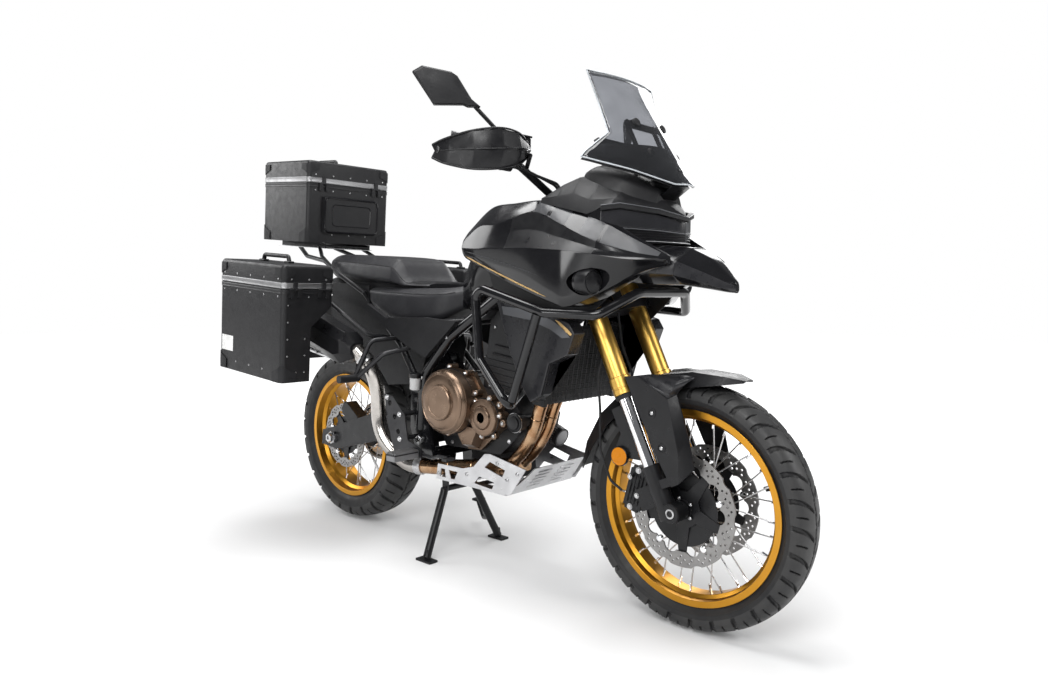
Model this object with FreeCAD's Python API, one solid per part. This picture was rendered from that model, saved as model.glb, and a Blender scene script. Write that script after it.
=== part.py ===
"""Adventure motorcycle with three luggage boxes, standing on its centre stand.

Millimetres.  X points forward, Y to the rider's left, Z up.  Everything is drawn from the middle
of the wheelbase on the ground, and moved by frame_shift when it is written, so that the origin
lies under the middle of the whole machine.
"""

import FreeCAD, Part
import math
import os

V = FreeCAD.Vector

# ---- driving dimensions ---------------------------------------------------------------------
wheelbase = 1445.0
caster_angle = 25.5          # the steering axis leans back by this much
trail = 103.5                # ground trail of the front wheel
fork_spacing = 200.0         # between the two fork legs
fork_offset = 30.0           # fork legs ahead of the steering axis
axle_gap = 0.05              # running fit of each axle in its hub
stand_lift = 10.0            # the centre stand holds the rear tyre this far off the ground
frame_shift = 35.4           # from the middle of the wheelbase to the middle of the machine
floor = 8.0                  # height of the floor in these measures

front_tyre_radius = 321.0
front_tyre_width = 112.0
front_bead_radius = 241.3    # 19 inch rim
front_rim_width = 84.0
rear_tyre_radius = 313.0
rear_tyre_width = 150.0
rear_bead_radius = 215.9     # 17 inch rim
rear_rim_width = 126.0
spoke_radius = 1.9
spokes_per_wheel = 32
front_disc_radius = 149.0
front_disc_plane = 62.0
rear_disc_radius = 120.0
rear_disc_plane = 76.0
disc_thickness = 5.0
front_axle_radius = 10.0
rear_axle_radius = 12.0
sprocket_tip_radius = 98.0
chain_plane = 84.0

box_wall = 2.0               # aluminium sheet of the luggage boxes
box_tilt = 4.0               # luggage leans up towards the rear
side_box = dict(length=405.0, height=377.0, width=186.0, lid=78.0, outer=480.0)
top_box = dict(length=312.0, height=299.0, width=362.0, lid=82.0)

seat_gap = 0.3               # soft and painted parts stay this far from what carries them

# ---- derived places -------------------------------------------------------------------------
front_axle = V(wheelbase / 2, 0, floor + front_tyre_radius)
rear_axle = V(-wheelbase / 2, 0, floor + rear_tyre_radius + stand_lift)
caster = math.radians(caster_angle)
steer_up = V(-math.sin(caster), 0, math.cos(caster))
steer_forward = V(math.cos(caster), 0, math.sin(caster))
steer_foot = V(front_axle.x + trail, 0, 0)
leg_y = fork_spacing / 2


# ---- general tools --------------------------------------------------------------------------
def vec(p):
    """A vector from any three numbers."""
    return V(*p)


def steer_at(z, ahead=0.0):
    """Distance up the steering axis of a point ahead of it at height z."""
    return (z - ahead * math.sin(caster)) / math.cos(caster)


def box(x0, x1, y0, y1, z0, z1):
    """An upright block between two corners."""
    return Part.makeBox(abs(x1 - x0), abs(y1 - y0), abs(z1 - z0), V(min(x0, x1), min(y0, y1), min(z0, z1)))


def rod(a, b, radius, bore=0.0):
    """A round bar from a to b, with a hole through it if bore is given."""
    a, b = vec(a), vec(b)
    axis = b - a
    bar = Part.makeCylinder(radius, axis.Length, a, axis)
    return bar.cut(Part.makeCylinder(bore, axis.Length, a, axis)) if bore else bar


def across(x, z, y0, y1, radius, bore=0.0):
    """A round bar along Y."""
    return rod((x, y0, z), (x, y1, z), radius, bore)


def wire_of(points, bend):
    """Straight runs joined by tangent arcs; bend is the arc radius, one for all or one a corner."""
    points = [vec(p) for p in points]
    bends = bend if isinstance(bend, (list, tuple)) else [bend] * (len(points) - 2)
    edges, here = [], points[0]
    for corner, before, after, radius in zip(points[1:-1], points[:-2], points[2:], bends):
        back, on = (before - corner).normalize(), (after - corner).normalize()
        half = back.getAngle(on) / 2
        reach = radius / math.tan(half)
        start, end = corner + back * reach, corner + on * reach
        middle = (back + on).normalize() * (radius / math.sin(half) - radius)
        if here.distanceToPoint(start) > 1e-6:
            edges.append(Part.LineSegment(here, start).toShape())
        edges.append(Part.Arc(start, corner + middle, end).toShape())
        here = end
    edges.append(Part.LineSegment(here, points[-1]).toShape())
    return Part.Wire(edges)


def pipe(points, radius, bend=40.0):
    """A bent round bar through the points."""
    if len(points) == 2:
        return rod(points[0], points[1], radius)
    path = wire_of(points, bend)
    start = vec(points[0])
    ring = Part.Wire([Part.makeCircle(radius, start, vec(points[1]) - start)])
    return path.makePipeShell([ring], True, False)


def plate(outline, y0, y1):
    """A flat piece: an X, Z outline given a thickness along Y."""
    loop = Part.makePolygon([V(x, y0, z) for x, z in outline + outline[:1]])
    return Part.Face(loop).extrude(V(0, y1 - y0, 0))


def slab(outline, z0, z1):
    """A flat piece: an X, Y outline given a height along Z."""
    loop = Part.makePolygon([V(x, y, z0) for x, y in outline + outline[:1]])
    return Part.Face(loop).extrude(V(0, 0, z1 - z0))


def loft(sections):
    """A creased body through closed sections that all have as many corners."""
    loops = [Part.makePolygon([vec(p) for p in s] + [vec(s[0])]) for s in sections]
    return Part.makeLoft(loops, True, True)


def flip(shape):
    """The same piece on the other side of the machine."""
    return shape.mirror(V(0, 0, 0), V(0, 1, 0))


def both(shape):
    """A piece and its mirror image."""
    return [shape, flip(shape)]


def turned(profile, centre):
    """A ring about an axle along Y, from a profile of (y, radius)."""
    loop = Part.makePolygon([centre + V(0, y, r) for y, r in profile + profile[:1]])
    return Part.Face(loop).revolve(centre, V(0, 1, 0), 360)


def joined(shapes):
    """Pieces welded into one solid."""
    return shapes[0].multiFuse(shapes[1:]).removeSplitter()


def cut(shape, tools):
    """A piece with others taken out of it."""
    return shape.cut(Part.makeCompound(tools)) if tools else shape


def around(centre, radius, count, start=0.0):
    """Points on a circle about an axle: (x, z) pairs."""
    for n in range(count):
        a = math.radians(start + 360.0 * n / count)
        yield centre.x + radius * math.cos(a), centre.z + radius * math.sin(a)


# ---- wheels ---------------------------------------------------------------------------------
def tyre(centre, radius, width, bead, rim_width):
    """A tyre as one round ring that sits between the rim's flanges."""
    seat = rim_width / 2 - 4 - seat_gap
    half = width / 2
    low = bead + 2 + seat_gap
    shoulder = radius - 0.24 * (radius - bead)
    sides = [(seat, low), (seat, bead + 16), (half - 5, bead + 30), (half, (shoulder + bead + 28) / 2),
             (half - 3, shoulder), (half * 0.72, radius - 7.5), (half * 0.38, radius - 1.5)]
    profile = [(y, r) for y, r in sides] + [(0, radius)] + [(-y, r) for y, r in reversed(sides)]
    return [turned(profile, centre)]


def rim(centre, bead, rim_width):
    """A spoked rim: flanges, bead seats and the dropped middle."""
    half = rim_width / 2
    outer = [(half, bead + 14), (half - 4, bead + 14), (half - 4, bead + 2), (half * 0.5, bead + 2),
             (half * 0.36, bead - 9)]
    inner = [(half, bead - 3), (half * 0.6, bead - 5), (half * 0.44, bead - 15)]
    profile = outer + [(-y, r) for y, r in reversed(outer)] + [(-y, r) for y, r in inner]
    profile += list(reversed(inner))
    return [turned(profile, centre)]


def hub(centre, half_width, flange_radius, flange_y, axle_radius, barrel=30.0):
    """A wheel hub with two spoke flanges, bored for its axle."""
    bore = axle_radius + axle_gap
    side = [(half_width, bore), (half_width, 24), (half_width - 8, 24), (flange_y + 5, 26), (flange_y + 5, flange_radius),
            (flange_y, flange_radius), (flange_y - 6, barrel)]
    profile = side + [(-y, r) for y, r in reversed(side)]
    return [turned(profile, centre)]


def spokes(centre, flange_radius, flange_y, bead, rim_width):
    """Crossed wire spokes, each from a flange to the rim's dropped middle."""
    wires = []
    rim_radius = bead - 15 - seat_gap - spoke_radius * 0.25
    hub_radius = flange_radius + seat_gap + spoke_radius
    step = 360.0 / spokes_per_wheel
    for n in range(spokes_per_wheel):
        side = 1 if n % 2 else -1
        lean = 1 if n % 4 < 2 else -1
        rim_angle = math.radians(n * step)
        hub_angle = rim_angle + lean * math.radians(46)
        near = side * (flange_y + 2.5 + lean * 2.4)
        far = side * (rim_width * 0.22 - 8 + lean * 2.4)
        a = centre + V(hub_radius * math.cos(hub_angle), near, hub_radius * math.sin(hub_angle))
        b = centre + V(rim_radius * math.cos(rim_angle), far, rim_radius * math.sin(rim_angle))
        wires.append(rod(a, b, spoke_radius))
    return wires


# cooling holes of a disc, one lobe: share of the disc's radius, degrees from the lobe's middle
disc_holes = [(0.93, 0), (0.93, 9.5), (0.93, -9.5), (0.87, 4.5), (0.87, -4.5), (0.87, 13.5), (0.87, -13.5),
              (0.81, 0)]
disc_hole_radius = 3.1


def wave_disc(centre, plane, radius, inner, lobes=10):
    """A brake disc with a scalloped edge and drilled cooling holes."""
    half = disc_thickness / 2
    low, high = plane - half - 1, plane + half + 1
    disc = across(centre.x, centre.z, plane - half, plane + half, radius)
    scallops = [across(x, z, low, high, radius * 0.2) for x, z in around(centre, radius * 1.165, lobes)]
    scallops += [across(x, z, low, high, radius * 0.13) for x, z in around(centre, inner * 0.93, lobes)]
    holes = [across(x, z, low, high, disc_hole_radius) for share, turn in disc_holes
             for x, z in around(centre, radius * share, lobes, 180.0 / lobes + turn)]
    middle = across(centre.x, centre.z, low, high, inner)
    return cut(disc, scallops + holes + [middle])


def disc_carrier(centre, plane, inner, hub_radius, inboard, arms=5):
    """The spider that carries a brake disc, lying against the disc's inner face."""
    half = disc_thickness / 2
    y0, y1 = sorted((plane - inboard * half, plane - inboard * (half + 5)))
    ring = across(centre.x, centre.z, y0, y1, hub_radius + 24)
    fingers = []
    for n in range(arms):
        arm = plate([(0, -24), (inner + 6, -11), (inner + 6, 11), (0, 24)], y0, y1)
        arm.rotate(V(0, 0, 0), V(0, 1, 0), 360.0 * n / arms + 90)
        arm.translate(V(centre.x, 0, centre.z))
        fingers.append(arm)
    body = joined([ring] + fingers)
    return cut(body, [across(centre.x, centre.z, y0 - 1, y1 + 1, hub_radius)])


front_hub = dict(half_width=60.0, flange_radius=44.0, flange_y=30.0, axle_radius=front_axle_radius)
rear_hub = dict(half_width=74.0, flange_radius=58.0, flange_y=36.0, axle_radius=rear_axle_radius, barrel=40.0)
carrier_bore = 24.0 + seat_gap


def front_wheel_nodes():
    """Everything that turns with the front wheel."""
    plane, inner = front_disc_plane, front_disc_radius - 40
    return {
        "front_tyre": tyre(front_axle, front_tyre_radius, front_tyre_width, front_bead_radius, front_rim_width),
        "front_rim": rim(front_axle, front_bead_radius, front_rim_width),
        "front_hub": hub(front_axle, **front_hub) + [
            disc_carrier(front_axle, s * plane, inner, carrier_bore, s) for s in (1, -1)],
        "front_spokes": spokes(front_axle, 44.0, 30.0, front_bead_radius, front_rim_width),
        "front_discs": [wave_disc(front_axle, s * plane, front_disc_radius, inner) for s in (1, -1)],
    }


def sprocket():
    """The rear chain wheel, its teeth short of the chain's rollers."""
    y0, y1 = chain_plane - 3.5, chain_plane + 3.5
    wheel = across(rear_axle.x, rear_axle.z, y0, y1, sprocket_tip_radius)
    gullets = [across(x, z, y0 - 1, y1 + 1, 5.0) for x, z in around(rear_axle, sprocket_tip_radius + 1.5, 40)]
    windows = [across(x, z, y0 - 1, y1 + 1, 15.0) for x, z in around(rear_axle, 66.0, 6)]
    bore = across(rear_axle.x, rear_axle.z, y0 - 1, y1 + 1, 30.0)
    return cut(wheel, gullets + windows + [bore])


def rear_wheel_nodes():
    """Everything that turns with the rear wheel."""
    inner = rear_disc_radius - 36
    cush_drive = across(rear_axle.x, rear_axle.z, rear_hub["half_width"] + seat_gap, chain_plane - 3.5, 52.0)
    collar = across(rear_axle.x, rear_axle.z, chain_plane - 3.5, chain_plane + 4.0, 30.0 - seat_gap)
    drum = cut(joined([cush_drive, collar]), [across(rear_axle.x, rear_axle.z, 0, 120, rear_axle_radius + axle_gap)])
    return {
        "rear_tyre": tyre(rear_axle, rear_tyre_radius, rear_tyre_width, rear_bead_radius, rear_rim_width),
        "rear_rim": rim(rear_axle, rear_bead_radius, rear_rim_width),
        "rear_hub": hub(rear_axle, **rear_hub) + [
            drum, disc_carrier(rear_axle, -rear_disc_plane, inner, carrier_bore, -1)],
        "rear_spokes": spokes(rear_axle, 58.0, 36.0, rear_bead_radius, rear_rim_width),
        "rear_disc": [wave_disc(rear_axle, -rear_disc_plane, rear_disc_radius, inner)],
        "rear_sprocket": [sprocket()],
    }


# ---- steering: drawn about an upright steering axis, then leaned back ------------------------
axle_along = (front_axle - steer_foot).dot(steer_up)
axle_ahead = (front_axle - steer_foot).dot(steer_forward)
clamp_low = 930.0            # lower fork clamp, up the steering axis
clamp_high = 1170.0          # upper fork clamp
clamp_thick = 26.0
fork_top = 1208.0
gold_bottom = steer_at(612.0, fork_offset)
chrome_bottom = steer_at(437.0, fork_offset)
outer_tube_radius = 26.5
stanchion_radius = 20.5
head_tube_radius = 27.0
fork_swing_radius = 150.5    # room for clamps and fork legs at full lock
stem_radius = 14.0
bar_radius = 11.0


def lean_back(shape):
    """From the upright steering frame (X ahead, Z up the axis) to its real place."""
    shape = shape.copy()
    shape.rotate(V(0, 0, 0), V(0, 1, 0), -caster_angle)
    shape.translate(steer_foot)
    return shape


def steer_rod(ahead, y, low, high, radius, bore=0.0):
    """A round bar along the steering axis."""
    return rod((ahead, y, low), (ahead, y, high), radius, bore)


def fork_clamps():
    """Both clamps and the stem that turns in the head tube, one welded piece."""
    outline = [(-26, -30), (4, -leg_y - 34), (fork_offset + 24, -leg_y - 34), (fork_offset + 30, -leg_y + 22),
               (30, 0)]
    outline += [(x, -y) for x, y in reversed(outline[:-1])]
    low = slab(outline, clamp_low - clamp_thick, clamp_low)
    high = slab(outline, clamp_high, clamp_high + clamp_thick)
    stem = steer_rod(0, 0, clamp_low, clamp_high, stem_radius)
    risers = [rod((4, s * 42, clamp_high + clamp_thick), (14, s * 42, bar_along), 15.0) for s in (1, -1)]
    body = joined([low, high, stem] + risers)
    holes = [steer_rod(fork_offset, s * leg_y, clamp_low - 40, fork_top + 9, outer_tube_radius) for s in (1, -1)]
    bar_hole = rod((bar_ahead, -90, bar_along), (bar_ahead, 90, bar_along), bar_radius + 0.1)
    return [lean_back(cut(body, holes + [bar_hole]))]


def fork_outer_tubes():
    """The gold upper tubes with their thicker lower collars."""
    collar = 48.0
    legs = []
    for s in (1, -1):
        tube = steer_rod(fork_offset, s * leg_y, gold_bottom, fork_top, outer_tube_radius)
        ring = steer_rod(fork_offset, s * leg_y, gold_bottom, gold_bottom + collar, outer_tube_radius + 2.5)
        legs.append(lean_back(joined([tube, ring])))
    return legs


def fork_stanchions():
    """The bright inner tubes below the gold ones."""
    return [lean_back(steer_rod(fork_offset, s * leg_y, chrome_bottom, gold_bottom, stanchion_radius))
            for s in (1, -1)]


def fork_bottoms():
    """Castings that hold the axle and carry the brake calipers."""
    castings = []
    for s in (1, -1):
        y = s * leg_y
        sleeve = steer_rod(fork_offset, y, axle_along - 12, chrome_bottom, 25.5)
        boss = rod((axle_ahead, y - 26, axle_along), (axle_ahead, y + 22, axle_along), 25.0) if s > 0 else \
            rod((axle_ahead, y - 22, axle_along), (axle_ahead, y + 26, axle_along), 25.0)
        lug = box(fork_offset - 78, fork_offset, s * 85.3, s * 96.6, axle_along + 26, axle_along + 84)
        bore = rod((axle_ahead, y - 40, axle_along), (axle_ahead, y + 40, axle_along), front_axle_radius + axle_gap)
        castings.append(lean_back(cut(joined([sleeve, boss, lug]), [bore])))
    return castings


def front_axle_bar():
    """The front axle with the spacers between hub and fork."""
    bar = across(front_axle.x, front_axle.z, -leg_y - 22, leg_y + 22, front_axle_radius)
    spacers = [across(front_axle.x, front_axle.z, s * (front_hub["half_width"] + 1), s * (leg_y - 26.0), 17.0)
               for s in (1, -1)]
    return [joined([bar] + spacers)]


def caliper(centre, plane, radius, angle, length, depth, side):
    """A brake caliper over a disc, at an angle round the axle; side points to the outboard half."""
    inner, outer = radius - depth, radius + 12
    block = box(inner, outer, plane - 23, plane + 23 - 0.0, -length / 2, length / 2)
    ears = box(inner + 8, outer - 6, plane + side * 12, plane + side * 23, -length / 2 - 9, length / 2 + 9)
    body = joined([block, ears])
    body.rotate(V(0, 0, 0), V(0, 1, 0), -angle)
    body.translate(V(centre.x, 0, centre.z))
    slot = across(centre.x, centre.z, plane - 6, plane + 6, radius + 5)
    carrier_room = across(centre.x, centre.z, plane - side * 13, plane, radius - 22)
    return cut(body, [slot, carrier_room])


def front_calipers():
    """Twin calipers behind the fork legs."""
    angle = 90 + caster_angle + 50
    return [caliper(front_axle, s * front_disc_plane, front_disc_radius, angle, 104, 44, s) for s in (1, -1)]


def fender_section(angle, radius, half_width, drop, thick=3.0):
    """One closed section of the mudguard, standing on the wheel's radius at an angle."""
    top = [(-half_width, radius - drop), (-half_width * 0.72, radius), (0, radius + 3), (half_width * 0.72, radius),
           (half_width, radius - drop)]
    under = [(half_width - thick, radius - drop), (half_width * 0.7 - 1, radius - thick), (0, radius + 3 - thick),
             (-half_width * 0.7 + 1, radius - thick), (-half_width + thick, radius - drop)]
    a = math.radians(angle)
    return [(front_axle.x + r * math.cos(a), y, front_axle.z + r * math.sin(a)) for y, r in top + under]


# mudguard stations: angle round the axle, crown radius, half width, depth of the sides
fender_rows = [(67, 366, 26, 6), (74, 360, 62, 22), (88, 352, 69, 38), (106, 348, 70, 40), (124, 347, 70, 42),
               (142, 347, 69, 44), (158, 347, 64, 34), (171, 349, 54, 16)]


def front_fender():
    """The mudguard over the front tyre."""
    return [loft([fender_section(*row) for row in fender_rows])]


# fork guard corners: ahead of the steering axis, up the axis
guard_outline = [(62, 705), (100, 690), (160, 606), (132, 472), (103, 403), (79, 402), (69, 491)]
guard_edge = [(160, 606, 171, 612), (132, 472, 158, 501), (103, 403, 141, 424)]   # crease, then front edge
guard_thick = 4.0


def fork_guards():
    """Blades in front of the bright fork tubes, folded inwards at the front and held by the fork bottoms."""
    guards = []
    for s in (1, -1):
        outer = plate(guard_outline, leg_y + 18, leg_y + 18 + guard_thick)
        face = loft([[(a, leg_y + 18, c), (a, leg_y + 18 + guard_thick, c), (b, leg_y - 12 + guard_thick, d),
                      (b, leg_y - 12, d)] for a, c, b, d in guard_edge])
        lug = box(48, 84, leg_y - 9, leg_y + 18, 405, 428)
        blade = cut(joined([outer, face, lug]), [steer_rod(fork_offset, leg_y, 380, 440, 25.5 + axle_gap)])
        guards.append(lean_back(blade if s == 1 else flip(blade)))
    return guards


def fender_brackets():
    """Stays from the fork bottoms to the mudguard, with the round reflectors' seats."""
    stays = []
    for s in (1, -1):
        stay = plate([(664, 426), (655, 452), (606, 520), (530, 576), (504, 562), (536, 500), (520, 462), (526, 438),
                      (600, 438), (640, 424)],
                     s * 70.3, s * 74.2)
        stays.append(stay)
    return stays


def reflectors():
    """Round amber reflectors on the stays."""
    return [across(543, 441, s * 74.2, s * 83.0, 20.0) for s in (1, -1)]


# handlebar corners on the rider's left: forward, left, up
bar_corners = [(291, 78, 1148), (279, 205, 1221), (205, 400, 1240)]
bar_centre = V(291, 0, 1148)
bar_along = (bar_centre - steer_foot).dot(steer_up)
bar_ahead = (bar_centre - steer_foot).dot(steer_forward)


def on_grip(share, lift=0.0, ahead=0.0, side=1):
    """A point along the straight end of the handlebar."""
    a, b = vec(bar_corners[1]), vec(bar_corners[2])
    p = a + (b - a) * share + V(ahead, 0, lift)
    return V(p.x, side * p.y, p.z)


def bent_bar(extra=0.0):
    """The bent handlebar, fatter by extra when it serves as a cutter."""
    right = [(x, -y, z) for x, y, z in reversed(bar_corners)]
    return pipe(right + bar_corners, bar_radius + extra, 45)


def grips():
    """Rubber grips and bar ends."""
    return [rod(on_grip(0.40, side=s), on_grip(0.99, side=s), 16.5, bar_radius + 0.1) for s in (1, -1)]


def controls():
    """Switch housings with the lever perches, and the levers."""
    pieces = []
    for s in (1, -1):
        body = rod(on_grip(0.12, side=s), on_grip(0.385, side=s), 21.0)
        perch = rod(on_grip(0.14, side=s), on_grip(0.16, 16, 46, s), 11.0)
        tank = rod(on_grip(0.14, 22, 34, s), on_grip(0.14, 58, 34, s), 17.0)
        arm = rod(on_grip(0.14, 0, 16, s), on_grip(0.14, 30, 34, s), 9.0)
        bore = rod(on_grip(-0.2, side=s), on_grip(1.2, side=s), bar_radius + 0.1)
        housing = cut(joined([body, perch, tank, arm]), [bore])
        lever = rod(on_grip(0.19, 12, 48, s), on_grip(0.95, 4, 52, s), 5.0)
        pieces += [joined([housing, lever])]
    return pieces


# hand guard stations: left, forward, low edge, widest, high edge
guard_rows = [(238, 352, 1232, 1250, 1270), (290, 368, 1206, 1246, 1286), (345, 354, 1192, 1240, 1292),
              (395, 306, 1190, 1238, 1284), (425, 240, 1206, 1238, 1268), (432, 196, 1224, 1240, 1256)]


def hand_guards():
    """Shields in front of the grips, each one shell."""
    shells = []
    for s in (1, -1):
        rows = []
        for y, x, low, middle, high in guard_rows:
            rows.append([(x - 14, s * y, low), (x, s * y, middle), (x - 12, s * y, high), (x - 16, s * y, high),
                         (x - 4.5, s * y, middle), (x - 18, s * y, low)])
        stub = rod(on_grip(1.002, side=s), on_grip(1.16, 0, 8, s), 9.0)
        arm = rod((352, s * 241, 1236), on_grip(-0.06, -8, 12, s), 6.0)
        shells.append(cut(joined([loft(rows), stub, arm]), [bent_bar(0.3)]))
    return shells


mirror_root = V(268, 226, 1245.8)
mirror_inner = V(262, 330, 1322)
mirror_across = V(-118, 150, 0).normalize()
# mirror corners: along the glass outwards, height above its inner corner
mirror_outline = [(5, 35), (28, 53), (65, 110), (81, 120), (156, 132), (180, 117), (125, 36), (49, 39), (37, 34)]


def mirrors():
    """Mirror heads on their stalks."""
    normal = mirror_across.cross(V(0, 0, 1))
    pieces = []
    for s in (1, -1):
        loop = [mirror_inner + mirror_across * u + V(0, 0, h) for u, h in mirror_outline]
        face = Part.Face(Part.makePolygon(loop + loop[:1]))
        face.translate(normal * -7)
        head = face.extrude(normal * 16)
        stalk = pipe([mirror_root, mirror_root + V(0, 4, 30), mirror_inner + mirror_across * 24 + V(0, 0, 42)], 5.5, 20)
        mirror = joined([head, stalk])
        pieces.append(mirror if s == 1 else flip(mirror))
    return pieces


# hoses on the rider's left: forward, left, up
caliper_hose = [(549, 84, 352), (512, 84, 372), (476, 84, 450), (474, 84, 560), (462, 80, 650), (452, 44, 730),
                (446, 30, 826)]
bar_hoses = [[(284, 240, 1216), (308, 184, 1200), (330, 112, 1172), (352, 62, 1097)],
             [(300, 232, 1222), (318, 196, 1196), (342, 120, 1176), (353, 42, 1098)]]
hose_radius = 3.5


def brake_hoses():
    """Hoses from the calipers to the lower clamp and from the bar to the upper one."""
    hoses = []
    for s in (1, -1):
        for corners in [caliper_hose] + bar_hoses:
            hoses.append(pipe([(x, s * y, z) for x, y, z in corners], hose_radius, 28))
    return [cut(hose, fork_clamps() + controls() + front_calipers()) for hose in hoses]


def steering_nodes():
    """Everything that turns with the handlebar, without the wheel."""
    return {
        "fork_clamps": fork_clamps(),
        "fork_outer_tubes": fork_outer_tubes(),
        "fork_stanchions": fork_stanchions(),
        "fork_bottoms": fork_bottoms() + front_axle_bar(),
        "front_calipers": front_calipers(),
        "front_fender": front_fender() + fork_guards() + fender_brackets() + reflectors(),
        "handlebar": [bent_bar()] + grips() + controls(),
        "hand_guards": hand_guards(),
        "mirrors": mirrors(), "brake_hoses": brake_hoses(),
    }


# ---- frame, engine and running gear ----------------------------------------------------------
swing_pivot = V(-195, 0, 398)
pivot_radius = 10.0
bolt_radius = 8.0            # pivot bolts of both stands
gearbox_sprocket = V(-105, 0, 395)
chain_pitch_radius = 106.0
gearbox_sprocket_radius = 40.0
chain_half_height = 7.0
chain_half_width = 7.0
spar_radius = 16.0
rail_radius = 11.0
stand_pivot = V(-180, 0, 285)
side_stand_pivot = V(-60, 152, 302)
side_stand_axis = V(0, 0.954, 0.3).normalize()

# frame spar corners on the left: head tube to swingarm pivot
spar = [(345, 22, 985), (288, 72, 945), (140, 138, 862), (-60, 148, 735), (-178, 148, 610), (-205, 148, 430)]
down_tube = [(390, 20, 902), (330, 62, 838), (262, 104, 700), (196, 112, 592)]
seat_rail = [(20, 134, 790), (-300, 116, 763), (-480, 108, 812), (-800, 95, 888)]
seat_strut = [(-198, 148, 560), (-330, 126, 700), (-470, 112, 800)]
pivot_plate = [(-245, 560), (-178, 600), (-160, 520), (-152, 400), (-138, 342), (-215, 338), (-250, 430)]
side_stand_bracket = [(-152, 400), (-44, 340), (-38, 288), (-84, 286), (-140, 342)]
stand_lug = [(-202, 350), (-148, 350), (-164, 268), (-196, 268)]
stand_eye = (46.3, 63.7)     # from the middle of the machine
lug_thick = 8.0


shock_clevis_high = [(-178, 588), (-164, 606), (-208, 668), (-236, 662), (-238, 636), (-214, 634)]
shock_clevis_low = [(-320, 380), (-320, 410), (-276, 444), (-248, 440), (-244, 412), (-268, 398), (-290, 380)]
shock_low = V(-262, 0, 425)
shock_high = V(-222, 0, 650)


def spars(extra=0.0):
    """The two main spars, fatter by extra when they serve as a cutter."""
    return both(pipe(spar, spar_radius + extra, 45))


def main_frame():
    """Head tube, spars, down tubes and pivot plates, welded."""
    head = lean_back(steer_rod(0, 0, clamp_low + 1, clamp_high - 1, head_tube_radius))
    pieces = [head] + spars() + both(pipe(down_tube, 14, 40)) + both(plate(pivot_plate, 136, 150))
    pieces += [across(-170, 596, -140, 140, 11), box(-202, -148, -137, 74, 342, 362),
               plate(side_stand_bracket, 130, 146), on_side_pivot(-18, 0, 16)] + both(plate(shock_clevis_high, 18.3, 26))
    for y in (stand_eye[0] - 0.3 - lug_thick, stand_eye[1] + 0.3):
        pieces += both(plate(stand_lug, y, y + lug_thick))
    bores = [lean_back(steer_rod(0, 0, clamp_low - 60, clamp_high + 60, stem_radius + axle_gap)),
             across(swing_pivot.x, swing_pivot.z, -200, 200, pivot_radius + axle_gap),
             across(stand_pivot.x, stand_pivot.z, -200, 200, bolt_radius + axle_gap),
             on_side_pivot(-40, 60, bolt_radius + axle_gap)]
    return [cut(joined(pieces), bores)]


def subframe():
    """Seat rails and their struts, bolted to the spars."""
    pieces = both(pipe(seat_rail, rail_radius, 60)) + both(pipe(seat_strut, rail_radius, 60))
    pieces += [across(-480, 812, -108, 108, 9), across(-790, 886, -96, 96, 9), across(-300, 763, -116, 116, 9)]
    return [cut(joined(pieces), spars(0.05) + both(plate(pivot_plate, 130, 150)))]


crankcase = [(-132, 382), (-160, 440), (-128, 545), (28, 585), (150, 570), (210, 505), (200, 470), (160, 425),
             (112, 384)]
sump = [(-120, 386), (110, 386), (116, 300), (-90, 300)]
cylinder = [(28, 570), (150, 556), (205, 745), (200, 812), (110, 835), (62, 790)]


def engine_block():
    """Crankcase with the leaning twin-cylinder block."""
    case = plate(crankcase, -100, 66)
    pan = plate(sump, -8, 62)
    block = plate(cylinder, -92, 92)
    fins = [plate([(30, z), (160, z - 15), (168, z - 15), (168, z - 11), (160, z - 11), (30, z + 4)], -96, 96)
            for z in (612, 632, 652, 672)]
    oil_filter = rod((168, 34, 462), (244, 34, 436), 29)
    water_pump = joined([across(216, 500, -150, -124, 27), across(206, 500, -125, -60, 16)])
    return [joined([case, pan, block, water_pump, oil_filter] + fins)]


def clutch_cover():
    """The stepped covers on the engine's right side."""
    skirt = plate([(-118, 470), (-110, 600), (10, 628), (60, 560), (128, 548), (140, 470), (90, 430), (46, 392),
                   (-10, 388), (-40, 440)], -116, -100)
    dome = across(-53, 536, -178, -116, 100)
    step = across(-53, 536, -190, -178, 88)
    cap = across(-62, 536, -202, -190, 54)
    small = across(96, 503, -160, -116, 55)
    small_cap = across(96, 503, -168, -160, 33)
    sump_web = loft([[(-40, -116, 470), (70, -116, 450), (40, -116, 395), (-5, -116, 392)],
                     [(-45, -150, 470), (62, -150, 462), (38, -150, 412), (-2, -150, 408)]])
    return [joined([skirt, dome, step, cap, small, small_cap, sump_web])]


def alternator_cover():
    """The round cover and the sprocket cover on the left side."""
    round_cover = across(62, 470, 66, 118, 78)
    cap = across(62, 470, 118, 130, 52)
    guard = plate([(-146, 400), (-150, 440), (-100, 458), (-30, 430), (-30, 370), (-60, 352), (-100, 350)], 96, 122)
    arm = box(-60, 30, 66, 96, 384, 404)
    return [joined([round_cover, cap, guard, cut(arm, [across(-105, 395, 60, 100, 48)])])]


def swingarm():
    """Both arms and the cross box in front of the tyre."""
    arm = [(-797, 298), (-790, 352), (-715, 372), (-475, 450), (-330, 450), (-172, 428), (-165, 372), (-330, 352),
           (-480, 349), (-700, 290)]
    right = plate(arm, -129, -99)
    left = plate([(x, z) for x, z in arm], 99, 129)
    cross = box(-376, -292, -99, 99, 356, 412)
    tube = across(swing_pivot.x, swing_pivot.z, -99, 99, 20)
    webs = [box(-292, -205, s * 40, s * 62, 384, 412) for s in (1, -1)] + both(plate(shock_clevis_low, 18.3, 26))
    holes = [across(swing_pivot.x, swing_pivot.z, -140, 140, pivot_radius),
             across(rear_axle.x, rear_axle.z, -140, 140, rear_axle_radius)]
    return [cut(joined([right, left, cross, tube] + webs), holes)]


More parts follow.
